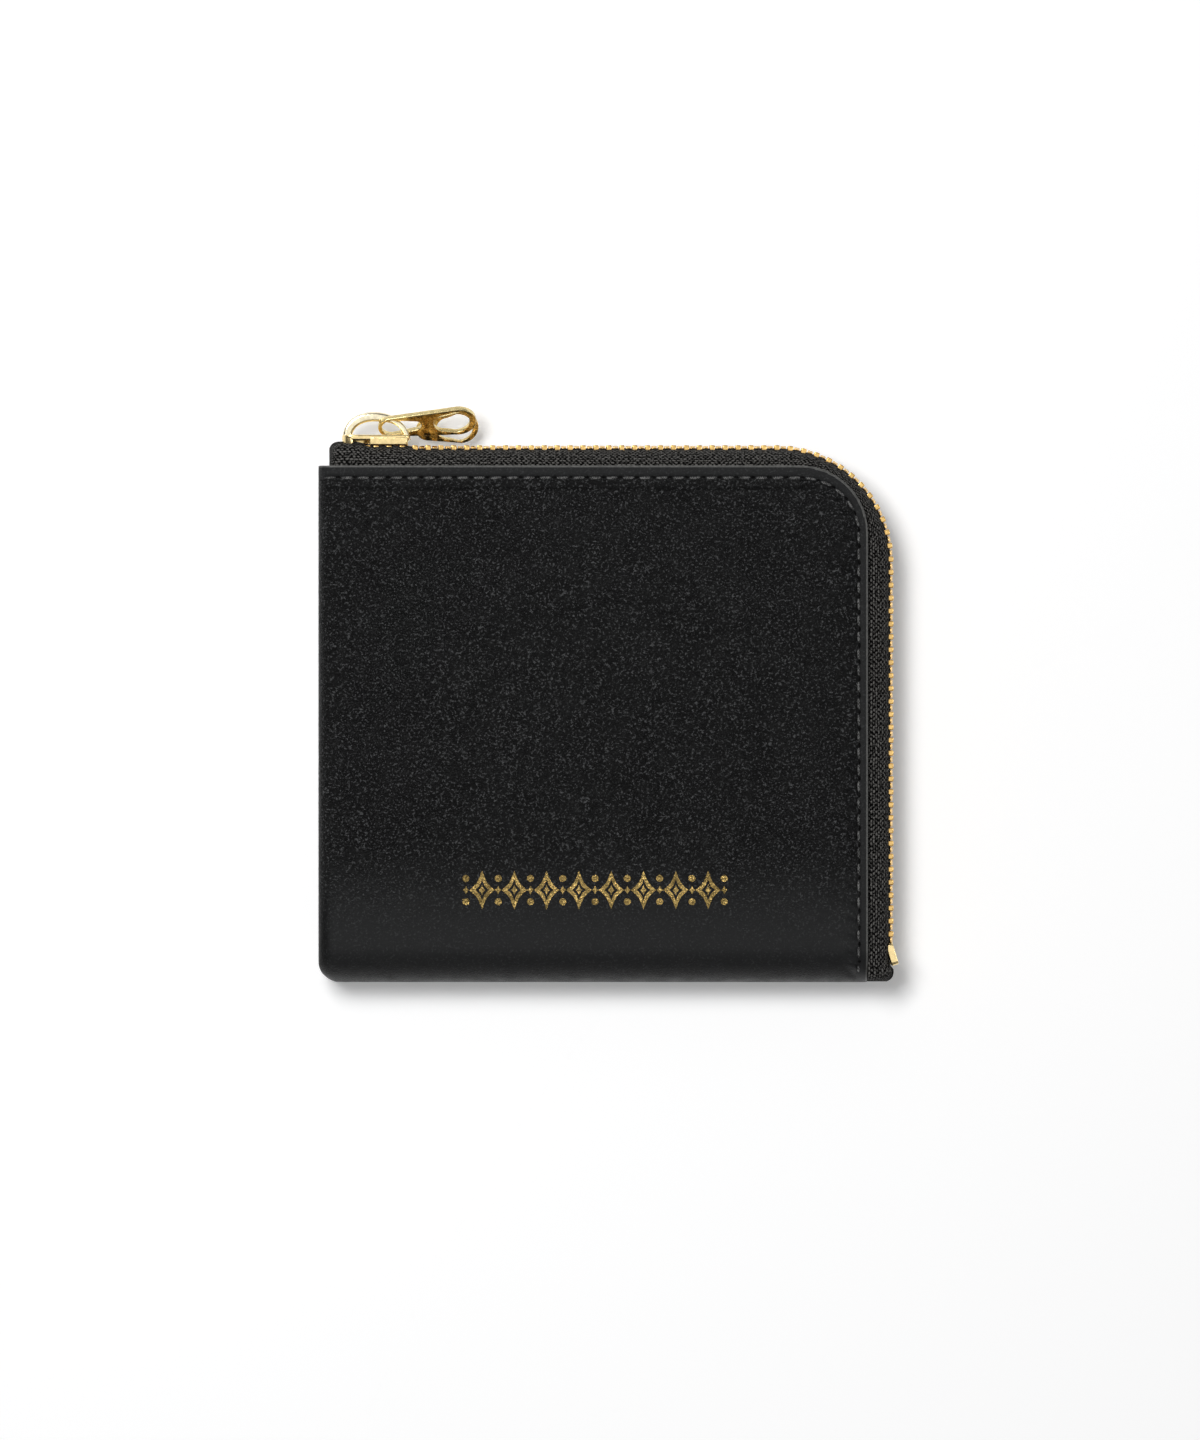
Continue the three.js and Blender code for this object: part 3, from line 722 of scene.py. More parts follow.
@once
def crinkled_foil(name, base):
    """Stamped foil that has taken up the leather's grain, with bright and dark facets painted into its colour
    as painted highlight and shade.
    """
    material, g, shader = new_material(name)
    where = g.add("ShaderNodeTexCoord").outputs["Object"]
    grain = g.add("ShaderNodeGroup", {"Place": where, "Cells per mm": 1.5}, node_tree=shared(leather_grain))
    painted_facet_light = g.remap(grain.outputs["Gloss"], 0.4, 0.62)
    g.link(g.mix(painted_facet_light, rgba(base, 0.26), rgba(base, 1.2)), shader.inputs["Base Color"])
    g.link(g.remap(grain.outputs["Gloss"], 0.35, 0.65, 0.42, 0.2), shader.inputs["Roughness"])
    shader.inputs["Metallic"].default_value = 1.0
    bumped(g, shader, grain.outputs["Height"], 0.0003)
    return material


# The cut edge's paint with lumps of colour; its light grey is partly the paint and partly a painted highlight
# on the rounded rim.
@once
def edge_coat_and_highlight(name, base):
    material, g, shader = new_material(name)
    where = g.add("ShaderNodeTexCoord").outputs["Object"]
    place = g.in_mm(where)
    lumps = g.noise(place, 1.6, 3.0)
    g.link(g.mix(g.remap(lumps, 0.3, 0.7), rgba(base, 0.7), rgba(base, 1.35)), shader.inputs["Base Color"])
    g.link(g.remap(lumps, 0.3, 0.7, 0.42, 0.6), shader.inputs["Roughness"])
    bumped(g, shader, lumps, 0.00008)
    return material


def outer_leather():
    return smooth_leather("Black grained leather", colours().leather, seam=True)


def pocket_leather():
    return smooth_leather("Pocket leather", colours().pocket, cells=2.4, depth=0.00006, gloss=(0.45, 0.62))


def lining_cloth():
    return woven("Lining cloth", colours().lining, 2.6, 2.6, 0.5, 0.00008, on_surface=False, rough=0.7)


def seam_thread():
    shown = colours().thread
    return woven("Seam thread", shown, 3.2, 2.4, 0.5, 0.0001, on_surface=False, rough=0.34, shine=0.4)


def polished_brass():
    return plated("Polished brass", colours().brass, rough=0.14, scratches=0.6)


def gold_plate():
    return plated("Gold plate", colours().gold)


def tape_cloth():
    return woven("Zip tape cloth", colours().tape, 1.7, 1.15, 0.5, 0.00026, bright=25.0, shine=0.02, low=0.47)


# ---- covers -------------------------------------------------------------------------------------
def side_stops(far, turned):
    """Stops across a cover: (position, share of the height) from the closed side to the cut edge."""
    middle = between(turned[-1][0], far - 7.0, 46)[1:]
    border = between(far - 7.0, far - 3.0, 13)[1:] + between(far - 3.0, far - 0.5, 14)[1:]
    rim = [far - 0.35, far - 0.22, far - 0.12, far - 0.05, far]
    return turned + [(p, 1.0) for p in middle + border + rim]


def cover_stops():
    rises = ((0.22, 0.0), (0.1, 0.035), (0.02, 0.09), (0.0, 0.18), (0.0, 0.45), (0.0, 0.7))
    wall = [(LEFT + inset, rise) for inset, rise in rises]
    for degrees in range(12, 91, 13):
        t = math.radians(degrees)
        wall.append((LEFT + TURN * (1 - math.cos(t)), 0.7 + 0.3 * math.sin(t)))
    fold = []
    for degrees in between(0, 90, 16):
        t = math.radians(degrees)
        fold.append((BOTTOM + FOLD * (1 - math.cos(t)), math.sin(t)))
    return side_stops(RIGHT, wall), side_stops(TOP, fold)


def cover(name, side):
    """One leather cover from its mid height to the cut edges: side +1 is the front, -1 the back."""
    across, upwards = cover_stops()

    def place(i, j):
        x, rise_x = across[i]
        y, rise_y = upwards[j]
        if rise_x < 0.7:
            x = LEFT + (x - LEFT) * rise_y
        x, y = round_corner(x, y)
        share = rise_x * rise_y
        lift = relief(x, y)
        if side < 0:
            lift = min(0, lift - sizes().puff / MM)
        height = (FRONT - MID) * share + lift * share
        return x, y, MID + side * height

    piece = spread(name, len(across) - 1, len(upwards) - 1, place)
    mesh = piece.data
    layer = mesh.uv_layers.new(name="Seam").data
    for loop in mesh.loops:
        x, y, _ = mesh.vertices[loop.vertex_index].co / MM
        layer[loop.index].uv = (seam_length(x, y) * MM, (edge_distance(x, y) - seam_inset(x, y)) * MM)
    edit(piece, weld)
    if side < 0:
        edit(piece, bpy.ops.mesh.flip_normals)
    modify(piece, "SOLIDIFY", thickness=sizes().leather, offset=-1, material_offset_rim=1)
    # The faces within 0.4 mm of the cut edge take the edge paint, lightened as a painted highlight on the
    # rounded rim.
    for face in piece.data.polygons:
        x, y, _ = face.center / MM
        if edge_distance(x, y) < 0.4:
            face.material_index = 1
    soften(piece, 40)
    return piece


class WALLET_OT_covers(bpy.types.Operator):
    """Shape the front and back leather with their fold, turned seam, pressed border and painted edge, whose
    paint is lightened as a painted highlight on the rounded rim
    """

    bl_idname = "wallet.covers"
    bl_label = "Leather covers"

    def execute(self, context):
        edge_coat_look = edge_coat_and_highlight("Painted leather edge", colours().edge)
        front = cover("front_cover", 1)
        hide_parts("outer_cover", "front_panel")
        finish(front, None, "black_leather", outer_leather(), edge_coat_look)
        bends_with_the_mouth(front)
        back = cover("back_cover", -1)
        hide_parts("outer_cover")
        finish(back, "cover", "black_leather", outer_leather(), edge_coat_look)
        return {"FINISHED"}


# ---- stitching ----------------------------------------------------------------------------------
def seam_points(start, end):
    """Stitch middles and directions along the seam line, from the left end round to the bottom end."""
    top, side = sizes().seam_top / MM, sizes().seam_side / MM
    straight = RIGHT - CORNER - start
    bend = (CORNER - (top + side) / 2) * math.pi / 2
    total = straight + bend + (TOP - CORNER - end)
    count = int(total / (sizes().stitch_pitch / MM))

    def spot(s):
        turned = min(1.0, max(0.0, (s - straight) / bend))
        angle = (1 - turned) * math.pi / 2
        radius = CORNER - top - (side - top) * smooth(turned)
        before, after = min(0.0, s - straight), max(0.0, s - straight - bend)
        return Vector((
            RIGHT - CORNER + radius * math.cos(angle) + before,
            TOP - CORNER + radius * math.sin(angle) - after,
        ))

    for k in range(count):
        s = (k + 0.5) * total / count
        yield spot(s), (spot(s + 0.1) - spot(s - 0.1)).normalized()


def small_ball(rings, place):
    """Adds a small smooth ball and lays its points, up to 0.5 from the middle, at place(x, y, z)."""
    bpy.ops.object.select_all(action="DESELECT")
    bpy.ops.mesh.primitive_uv_sphere_add(segments=8, ring_count=rings, radius=0.5)
    model = bpy.context.object
    for vertex in model.data.vertices:
        vertex.co = place(*vertex.co)
    edit(model, face_out)
    for face in model.data.polygons:
        face.use_smooth = True
    return model


def stitch_model():
    """One stitch: a plump strand whose ends dive into the leather."""
    long, thick = sizes().stitch, sizes().thread

    def place(x, y, z):
        along = math.copysign(abs(2 * z) ** 0.8, z) / 2
        sag = -0.75 * thick * (2 * along) ** 4
        return along * long, x * thick * 1.15 + 0.14 * thick * 2 * along, y * thick + sag

    return small_ball(7, place)


def seam_height(x, y, side):
    """Height of the leather the seam lies in, a little lower on the flat back than on the front."""
    height = front_height(x, y)
    return min(height, height - relief(x, y) - 0.35) if side < 0 else height


def stitching(name, side):
    matrices = []
    for point, heading in seam_points(SEAM_START, SEAM_END):
        ends = []
        for reach in (-1.0, 1.0):
            spot = point + heading * reach
            height = seam_height(spot.x, spot.y, side)
            ends.append(Vector((spot.x, spot.y, MID + side * (height - MID))))
        along = ends[1] - ends[0]
        middle = (ends[0] + ends[1]) / 2 + Vector((0, 0, side * 0.04))
        matrices.append(oriented(middle, along, Vector((0, 0, side))))
    return copies(name, stitch_model(), matrices)


def needle_holes(name, side):
    """Dark dimples painted as the shade inside the needle holes, where the thread dives between one stitch
    and the next.
    """
    model = small_ball(6, lambda x, y, z: (x * MM, y * 0.62 * MM, z * 0.24 * MM))
    places = list(seam_points(SEAM_START, SEAM_END))
    matrices = []
    for (point, heading), (after, _) in zip(places, places[1:]):
        spot = (point + after) / 2 + Vector((-heading.y, heading.x)) * 0.2
        height = seam_height(spot.x, spot.y, side)
        middle = Vector((spot.x, spot.y, MID + side * (height - MID + 0.02)))
        matrices.append(oriented(middle, Vector((heading.x, heading.y, 0)), Vector((0, 0, side))))
    return copies(name, model, matrices)


class WALLET_OT_stitching(bpy.types.Operator):
    """Sew the front and back seams, stitch by stitch"""

    bl_idname = "wallet.stitching"
    bl_label = "Stitching"

    def execute(self, context):
        thread = seam_thread()
        front = stitching("front_stitches", 1)
        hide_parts("front_stitching", "front_stitching_top_end", "front_stitching_bottom_end")
        finish(front, None, "seam_thread", thread)
        bends_with_the_mouth(front)
        # Painted shade: near-black dimples on the leather stand in for the shade inside the needle holes.
        hole_shade_look = smooth_leather("Needle hole leather", (0.0006, 0.0006, 0.0006), gloss=(0.6, 0.8))
        front_hole_shades = needle_holes("front_needle_holes", 1)
        finish(front_hole_shades, None, "black_leather", hole_shade_look)
        bends_with_the_mouth(front_hole_shades)
        finish(needle_holes("back_needle_holes", -1), "cover", "black_leather", hole_shade_look)
        back = stitching("back_stitches", -1)
        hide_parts("back_stitching")
        finish(back, "cover", "seam_thread", thread)
        return {"FINISHED"}


# ---- zip tapes ----------------------------------------------------------------------------------
def tape_lengths():
    """Lengths along the tape, close together at the round ends and in the bend."""
    ends = [0.0, 0.06, 0.18, 0.35, 0.55, 0.8, 1.1, 1.5, 1.8, 2.1, 2.4, 2.7, 3.1, 3.6, 5.0, 7.9, 8.1]
    inner = between(TAPE_START + 8.3, TAPE_END - 8.3, 110)
    return [TAPE_START + e for e in ends] + inner + [TAPE_END - e for e in reversed(ends)]


def tape_reach(s):
    """How far the tape reaches beyond the leather: past the teeth's roots, wider at the folded ends."""
    chain, edge, _ = on_chain(s)
    at_start = s - TAPE_START < TAPE_END - s
    from_end = min(s - TAPE_START, TAPE_END - s)
    if at_start:
        fold_out = 0.7 * smooth((7.4 - from_end) / 0.8) + 0.6 * smooth((16.2 - from_end) / 1.6)
    else:
        fold_out = 0.65 * smooth(3.0 - from_end)
    corner = 1.7
    round_in = corner - math.sqrt(corner**2 - (corner - min(corner, max(from_end, 0.1))) ** 2)
    return (chain - edge).length + 0.9 + fold_out - round_in


def tape_closing(s):
    """Share of the tape's height that is left where its two halves close round at the ends."""
    from_end = min(s - TAPE_START, TAPE_END - s)
    return max(0.03, math.sqrt(1 - max(0.0, 1 - from_end / TAPE_ROUND) ** 2))


def zip_tape(name, side):
    """A tape half that domes from under the leather edge out to the chain."""
    lengths = tape_lengths()
    turns = [math.radians(a) for a in between(8, 90, 11)]
    bow = [(0.0, 0.0)] + [(math.sin(a), 1 - math.cos(a)) for a in turns]

    def place(i, j):
        s = lengths[i]
        _, edge, out = on_chain(s)
        reach = tape_reach(s)
        sewn = 3.5 if TAPE_END - s > 8 else -0.1
        if j == 0:
            u, height = -sewn, TAPE_HIGH
        elif j <= len(bow):
            across, drop = bow[j - 1]
            u = max(across * (reach - 0.55), 0.0 if sewn > 0 else 0.1 + 0.02 * j)
            height = TAPE_HIGH - TAPE_DROP * drop
        else:
            u = reach - (0.45, 0.22, 0.0)[j - len(bow) - 1]
            height = (3.42, 3.34, 3.3)[j - len(bow) - 1]
        height *= tape_closing(s)
        ripple = 0.05 * math.sin(s * 2.1) * math.sin(math.pi * min(1, max(0, u / reach)))
        point = edge + out * (u + ripple)
        return point.x, point.y, MID + side * (height + ripple)

    def uv(i, j):
        s = lengths[i]
        rolled = math.copysign(TAPE_HIGH * (1 - tape_closing(s)), s)
        return (s + rolled) * MM, j * 0.62 * MM

    piece = spread(name, len(lengths) - 1, len(bow) + 3, place, uv)
    if side < 0:
        edit(piece, bpy.ops.mesh.flip_normals)
    modify(piece, "SOLIDIFY", thickness=sizes().tape, offset=0)
    soften(piece, 50)
    return piece


class WALLET_OT_tapes(bpy.types.Operator):
    """Lay the two woven zip tapes round the open edges"""

    bl_idname = "wallet.tapes"
    bl_label = "Zip tapes"

    def execute(self, context):
        front = zip_tape("front_zip_tape", 1)
        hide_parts("front_tape_top_end", "front_tape", "front_tape_bottom_end")
        finish(front, None, "zip_tape_fabric", tape_cloth())
        bends_with_the_mouth(front)
        back = zip_tape("back_zip_tape", -1)
        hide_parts("back_tape")
        finish(back, "cover", "zip_tape_fabric", tape_cloth())
        return {"FINISHED"}


# ---- teeth and stops ----------------------------------------------------------------------------
def block(low, high):
    """Adds a box from its lowest to its highest corner, in millimetres."""
    bpy.ops.mesh.primitive_cube_add(size=1)
    piece = bpy.context.object
    for vertex in piece.data.vertices:
        corner = [b if part > 0 else a for part, a, b in zip(vertex.co, low, high)]
        vertex.co = Vector(corner) * MM
    return piece


def tooth_model(width=1.12, top=2.85, nose=-0.85):
    """One tooth: legs that grip the tape, and a narrower nose that reaches between the opposite teeth."""
    reach = TOOTH_REACH + TOOTH_LONG
    model = block((-TOOTH_REACH, -width / 2, 0.7), (reach, width / 2, top))

    def draw_out_nose():
        bpy.ops.mesh.select_all(action="DESELECT")
        bpy.ops.object.mode_set(mode="OBJECT")
        for face in model.data.polygons:
            face.select = face.normal.z < -0.5
        bpy.ops.object.mode_set(mode="EDIT")
        bpy.ops.mesh.extrude_region_move(TRANSFORM_OT_translate={"value": (0, 0, -0.4 * MM)})
        bpy.ops.transform.resize(value=(0.88, 0.94, 1))
        bpy.ops.mesh.extrude_region_move(TRANSFORM_OT_translate={"value": (0, 0, (nose - 0.3) * MM)})
        bpy.ops.transform.resize(value=(0.86, 0.9, 1))

    edit(model, draw_out_nose)
    leg = block((0.3, -0.47 * width, 1.6), (reach, 0.47 * width, 4.05))
    model = joined("tooth", [model, leg])
    modify(model, "BEVEL", width=0.17 * MM, segments=2, limit_method="ANGLE", angle_limit=math.radians(50))
    soften(model, 50)
    return model


def chain_matrix(s, side, lift=0.0):
    chain, _, out = on_chain(s)
    point = Vector((chain.x + out.x * lift, chain.y + out.y * lift, MID))
    return oriented(point, Vector((out.x, out.y, 0)), Vector((0, 0, side)))


def tooth_row(name, side, shift):
    pitch = sizes().tooth_pitch / MM
    count = int((ROW_END - ROW_START - shift) / pitch) + 2
    spots = [ROW_START + shift + k * pitch for k in range(count)]
    spots = [s for s in spots if s - 0.3 < ROW_END]
    return copies(name, tooth_model(), [chain_matrix(s, side) for s in spots])


def cord_bead(name, side):
    """The thick edge of the tape that the teeth grip."""
    path = []
    for s in between(TAPE_START + 0.9, TAPE_END - 0.9, 140):
        chain, _, out = on_chain(s)
        middle = Vector((chain.x, chain.y, MID + side * 1.9))
        path.append((middle, Vector((out.x, out.y, 0)), Vector((0, 0, 1)), 1.0))
    section = [(0.97 * math.cos(a), 0.8 * math.sin(a)) for a in (2 * math.pi * k / 12 for k in range(12))]
    piece = tube(name, path, section)
    soften(piece, 60)
    return piece


class WALLET_OT_teeth(bpy.types.Operator):
    """Set the two rows of teeth on the tape edges, meshed together"""

    bl_idname = "wallet.teeth"
    bl_label = "Teeth"

    def execute(self, context):
        brass = polished_brass()
        front = tooth_row("front_zip_teeth", 1, 0.0)
        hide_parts("front_teeth_top_end", "front_teeth", "front_teeth_bottom_end")
        finish(front, None, "brass_teeth", brass)
        bends_with_the_mouth(front)
        back = tooth_row("back_zip_teeth", -1, sizes().tooth_pitch / MM / 2)
        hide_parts("back_teeth")
        finish(back, "cover", "brass_teeth", brass)
        bead = cord_bead("front_tape_bead", 1)
        finish(bead, None, "zip_tape_fabric", tape_cloth())
        bends_with_the_mouth(bead)
        finish(cord_bead("back_tape_bead", -1), "cover", "zip_tape_fabric", tape_cloth())
        return {"FINISHED"}


class WALLET_OT_stops(bpy.types.Operator):
    """Crimp the two top stops and the bottom stop onto the tapes"""

    bl_idname = "wallet.stops"
    bl_label = "Stops"

    def execute(self, context):
        brass = polished_brass()
        for name, side in (("top_stop_front", 1), ("top_stop_back", -1)):
            low, high = in_mm(name)
            stop = tooth_model(width=high.x - low.x - 0.05, nose=0.5)
            settle(stop, chain_matrix((low.x + high.x) / 2, side))
            stop.name = stop.data.name = name + "_clamp"
            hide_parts(name)
            finish(stop, "cover", "brass_teeth", brass)
        low, high = in_mm("bottom_stop")
        half = (high.z - low.z) / 2 + 1.6
        reach = (high.y - low.y) / 2 + 0.3
        plates = []
        for u, thick in ((-1.0, 0.9), (0.8, 1.4)):
            ends = []
            for quarter, (a, b) in enumerate(((1, 1), (-1, 1), (-1, -1), (1, -1))):
                turn = 90 * quarter
                ends += arc(a * (half - 0.8), b * (reach - 0.8), 0.8, turn, turn + 90, 4)
            plate = flat_plate("stop_plate", [ends], thick, 0.2)
            settle(plate, Matrix.Translation((0, 0, u)))
            plates.append(plate)
        web = [(-1.0, -reach + 0.3), (1.0, -reach + 0.3), (1.0, reach - 0.3), (-1.0, reach - 0.3)]
        plates.append(flat_plate("stop_web", [web], 1.7, 0.1))
        stop = joined("bottom_stop_clamp", plates)
        centre = (low + high) / 2 + Vector((0.5, -0.35, 0))
        upright = Matrix(((0, 0, 1), (0, 1, 0), (-1, 0, 0))).to_4x4()
        lean = Matrix.Rotation(math.radians(17), 4, "Z")
        settle(stop, Matrix.Translation(centre) @ lean @ upright)
        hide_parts("bottom_stop")
        finish(stop, "cover", "gold_plate", gold_plate())
        return {"FINISHED"}


# ---- slider and pull ----------------------------------------------------------------------------
def slider_outline():
    """Half outline mirrored about the chain: shoulders at the closing end, narrower behind."""
    half = [(-6.5, 2.6), (-6.3, 3.7), (-5.6, 4.55), (-4.6, 4.9), (-3.4, 4.9), (-2.0, 4.7), (-0.6, 4.42)]
    half += [(5.4, 4.4)] + arc(5.4, 3.3, 1.1, 60, 0, 2)
    return half + [(x, -z) for x, z in reversed(half)]


def standing(piece, y):
    """Turns a plate modelled flat so that its face looks out of the zip, at height y beyond the edge."""
    upright = Matrix(((1, 0, 0), (0, 0, 1), (0, 1, 0))).to_4x4()
    return settle(piece, Matrix.Translation((SLIDER_X, y, MID)) @ upright)


def slider_body():
    plates = [
        standing(flat_plate("outer_plate", [slider_outline()], 1.0, 0.28), CHAIN_TOP + 3.05),
        standing(flat_plate("inner_plate", [slider_outline()], 1.15, 0.25), CHAIN_TOP - 2.1),
    ]
    post = [(-5.7, 0), (-4.9, 0.42), (-1.6, 0.4), (-1.1, 0), (-1.6, -0.4), (-4.9, -0.42)]
    plates.append(standing(flat_plate("post", [post], 1.0, 0.05), CHAIN_TOP + 2.25))
    lip = [(-1.2, 3.42), (5.2, 3.42), (6.0, 3.7), (6.1, 4.2), (5.8, 4.5), (-1.0, 4.5), (-1.2, 4.3)]
    nose = [(-6.35, 3.3), (-4.5, 3.6), (-4.4, 4.7), (-4.7, 4.85), (-5.5, 4.6), (-6.2, 3.9)]
    for side in (-1, 1):
        for outline, y, tall in (
            (lip, CHAIN_TOP + 2.35, 1.4),
            (nose, CHAIN_TOP + 2.35, 1.3),
            (lip, CHAIN_TOP - 1.35, 1.2),
        ):
            turned = [(x, side * z) for x, z in outline]
            plates.append(standing(flat_plate("lip", [turned], tall, 0.16), y))
    return joined("slider_body_cast", plates)


def bezier(points, steps):
    a, b, c, d = [Vector(p) for p in points]
    return [
        a * (1 - t) ** 3 + b * 3 * t * (1 - t) ** 2 + c * 3 * t * t * (1 - t) + d * t**3
        for t in between(0, 1, steps)
    ]


def slider_bridge():
    """A rounded bar bent into a low loop over the slider, broad where it meets the plate."""
    foot = SLIDER_HIGH.y - 0.5
    line = [Vector((-5.35, -0.8)), Vector((-5.42, -0.4))]
    line += bezier(((-5.5, 0), (-5.85, 2.9), (-3.5, 4.55), (-0.5, 4.6)), 16)
    line += bezier(((-0.5, 4.6), (2.8, 4.65), (5.7, 3.4), (6.1, 0)), 18)[1:]
    path = []
    for k, point in enumerate(line):
        ahead = line[min(k + 1, len(line) - 1)] - line[max(k - 1, 0)]
        normal = Vector((-ahead.y, ahead.x)).normalized()
        spot = Vector((SLIDER_X + point.x, foot + point.y, MID))
        slimming = 1.0 - 0.38 * smooth((point.x - 0.5) / 4.5)
        if point.x < 0:
            slimming += 0.3 * smooth((1.2 - point.y) / 2.4)
        path.append((spot, Vector((normal.x, normal.y, 0)), Vector((0, 0, 1)), slimming))
    section = []
    for k in range(20):
        a = 2 * math.pi * k / 20
        c, s = math.cos(a), math.sin(a)
        section.append((math.copysign(abs(c) ** 0.75, c) * 0.92, math.copysign(abs(s) ** 0.75, s) * 0.74))
    piece = tube("slider_bridge_loop", path, section)
    soften(piece, 50)
    return piece


class WALLET_OT_slider(bpy.types.Operator):
    """Cast the slider: two plates, side lips, the wedge between them and the bridge over them"""

    bl_idname = "wallet.slider"
    bl_label = "Slider"

    def execute(self, context):
        body = slider_body()
        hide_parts("slider_body")
        finish(body, "slider", "gold_plate", gold_plate())
        bridge = slider_bridge()
        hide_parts("slider_bridge")
        # Painted highlight: the bridge's paler gold stands in for the light it catches.
        finish(bridge, "slider", "gold_plate", plated("Polished bridge", colours().bridge, scratches=0.5))
        return {"FINISHED"}


def leaf_outline(start, near, far, end):
    """A leaf that is narrow at the eye and widens to its round free end."""
    outline = arc(start + near, 0, near, 90, 270, 14)
    outline += arc(end - far, 0, far, -90, 90, 18)
    return outline


def long_hole(start, near, far, end):
    hole = arc(start + near, 0, near, 90, 270, 10)
    return hole + arc(end - far, 0, far, -90, 90, 12)


def leaf(name, loops, thick, shift, roll, yaw):
    piece = flat_plate(name, loops, thick, 0.2)
    turn = Matrix.Rotation(math.radians(yaw), 4, "Z") @ Matrix.Rotation(math.radians(roll), 4, "X")
    settle(piece, Matrix.Translation(PIVOT + Vector(shift)) @ turn)
    return piece


class WALLET_OT_pull(bpy.types.Operator):
    """Stamp the two leaves of the pull and hang them on the bridge"""

    bl_idname = "wallet.pull"
    bl_label = "Pull"

    def execute(self, context):
        metal = plated("Pull metal", colours().pull, rough=0.17, scratches=0.7, depth=0.000005)
        front = leaf(
            "pull_leaf_front",
            [
                leaf_outline(-1.15, 2.5, 3.5, 17.8),
                long_hole(-0.4, 1.95, 1.2, 7.2),
                long_hole(9.6, 2.2, 2.75, 16.5),
            ],
            1.05, (0, 0, 0), 48, 5,
        )
        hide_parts("pull_front_leaf")
        finish(front, "pull", "gold_plate", metal)
        rear = leaf(
            "pull_leaf_rear",
            [leaf_outline(5.8, 2.4, 3.5, 17.9), long_hole(9.8, 2.3, 2.95, 16.8)],
            0.8, (0.3, -0.95, -3.0), 31, 4.3,
        )
        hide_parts("pull_rear_leaf")
        finish(rear, "pull", "gold_plate", metal)
        return {"FINISHED"}


# ---- foil ornament ------------------------------------------------------------------------------
def lozenge(cx, cy, wide, high):
    """A lozenge with gently hollowed sides."""
    corners = [(wide / 2, 0), (0, high / 2), (-wide / 2, 0), (0, -high / 2)]
    outline = []
    for k, (x, y) in enumerate(corners):
        nx, ny = corners[(k + 1) % 4]
        for t in (0.0, 0.25, 0.5, 0.75):
            pull_in = 1 - 0.22 * math.sin(math.pi * t)
            outline.append((cx + (x + (nx - x) * t) * pull_in, cy + (y + (ny - y) * t) * pull_in))
    return outline


def foil_loops(centre, wide, high):
    """A symmetric border of lozenges, dots and pairs of leaves."""
    loops = []
    step = wide / LOZENGES
    for k in range(LOZENGES):
        x = centre[0] - wide / 2 + (k + 0.5) * step
        loops.append(lozenge(x, centre[1], step * 0.78, high))
        loops.append(lozenge(x, centre[1], step * 0.42, high * 0.56))
        loops.append(lozenge(x, centre[1], step * 0.2, high * 0.28))
    for k in range(LOZENGES + 1):
        x = centre[0] - wide / 2 + k * step
        for dy in (-0.3, 0.3):
            loops.append(arc(x, centre[1] + dy * high, 0.09 * high, 0, 345, 15))
        loops.append(lozenge(x, centre[1], step * 0.2, high * 0.22))
    return loops


class WALLET_OT_ornament(bpy.types.Operator):
    """Stamp a plain border of gold foil lozenges low on the front"""

    bl_idname = "wallet.ornament"
    bl_label = "Foil ornament"

    def execute(self, context):
        wide, high = sizes().foil_width / MM, sizes().foil_height / MM
        centre = (LEFT + 53.0, BOTTOM + 17.9)
        piece = filled("foil_ornament", foil_loops(centre, wide, high), FOIL_THICK)
        for vertex in piece.data.vertices:
            x, y, z = vertex.co
            vertex.co.z = front_height(x / MM, y / MM) * MM + z + 0.015 * MM
        finish(piece, "cover", "gold_plate", crinkled_foil("Crinkled gold foil", colours().foil))
        return {"FINISHED"}


# ---- inside -------------------------------------------------------------------------------------
def front_lining_cloth():
    """The lining behind the front leather, one cloth across the crease."""
    low, high = in_mm("front_lining_fixed")
    round_by = 8.0

    def place(i, j):
        x = low.x + (high.x - low.x) * i / 40
        y = low.y + (high.y - low.y) * j / 36
        dx, dy = (x - (high.x - round_by)) / round_by, (y - (high.y - round_by)) / round_by
        if dx > 0 and dy > 0:
            x = high.x - round_by + round_by * dx * math.sqrt(1 - dy * dy / 2)
            y = high.y - round_by + round_by * dy * math.sqrt(1 - dx * dx / 2)
        quilt = 0.06 * math.sin(x * 0.35) * math.cos(y * 0.3)
        return x, y, low.z + 0.16 + quilt

    piece = spread("front_lining_sheet", 40, 36, place)
    edit(piece, bpy.ops.mesh.flip_normals)
    modify(piece, "SOLIDIFY", thickness=0.35 * MM, offset=0)
    soften(piece, 50)
    return piece


def pocket_stitches(name, low, high):
    """A line of stitches along a card pocket's top edge."""
    pitch = 3.0
    count = int((high.x - low.x - 6) / pitch)
    matrices = []
    for k in range(count):
        spot = Vector((low.x + 3 + (k + 0.5) * pitch, high.y - 1.8, high.z + 0.02))
        matrices.append(oriented(spot, Vector((1, 0, 0)), Vector((0, 0, 1))))
    return copies(name, stitch_model(), matrices)


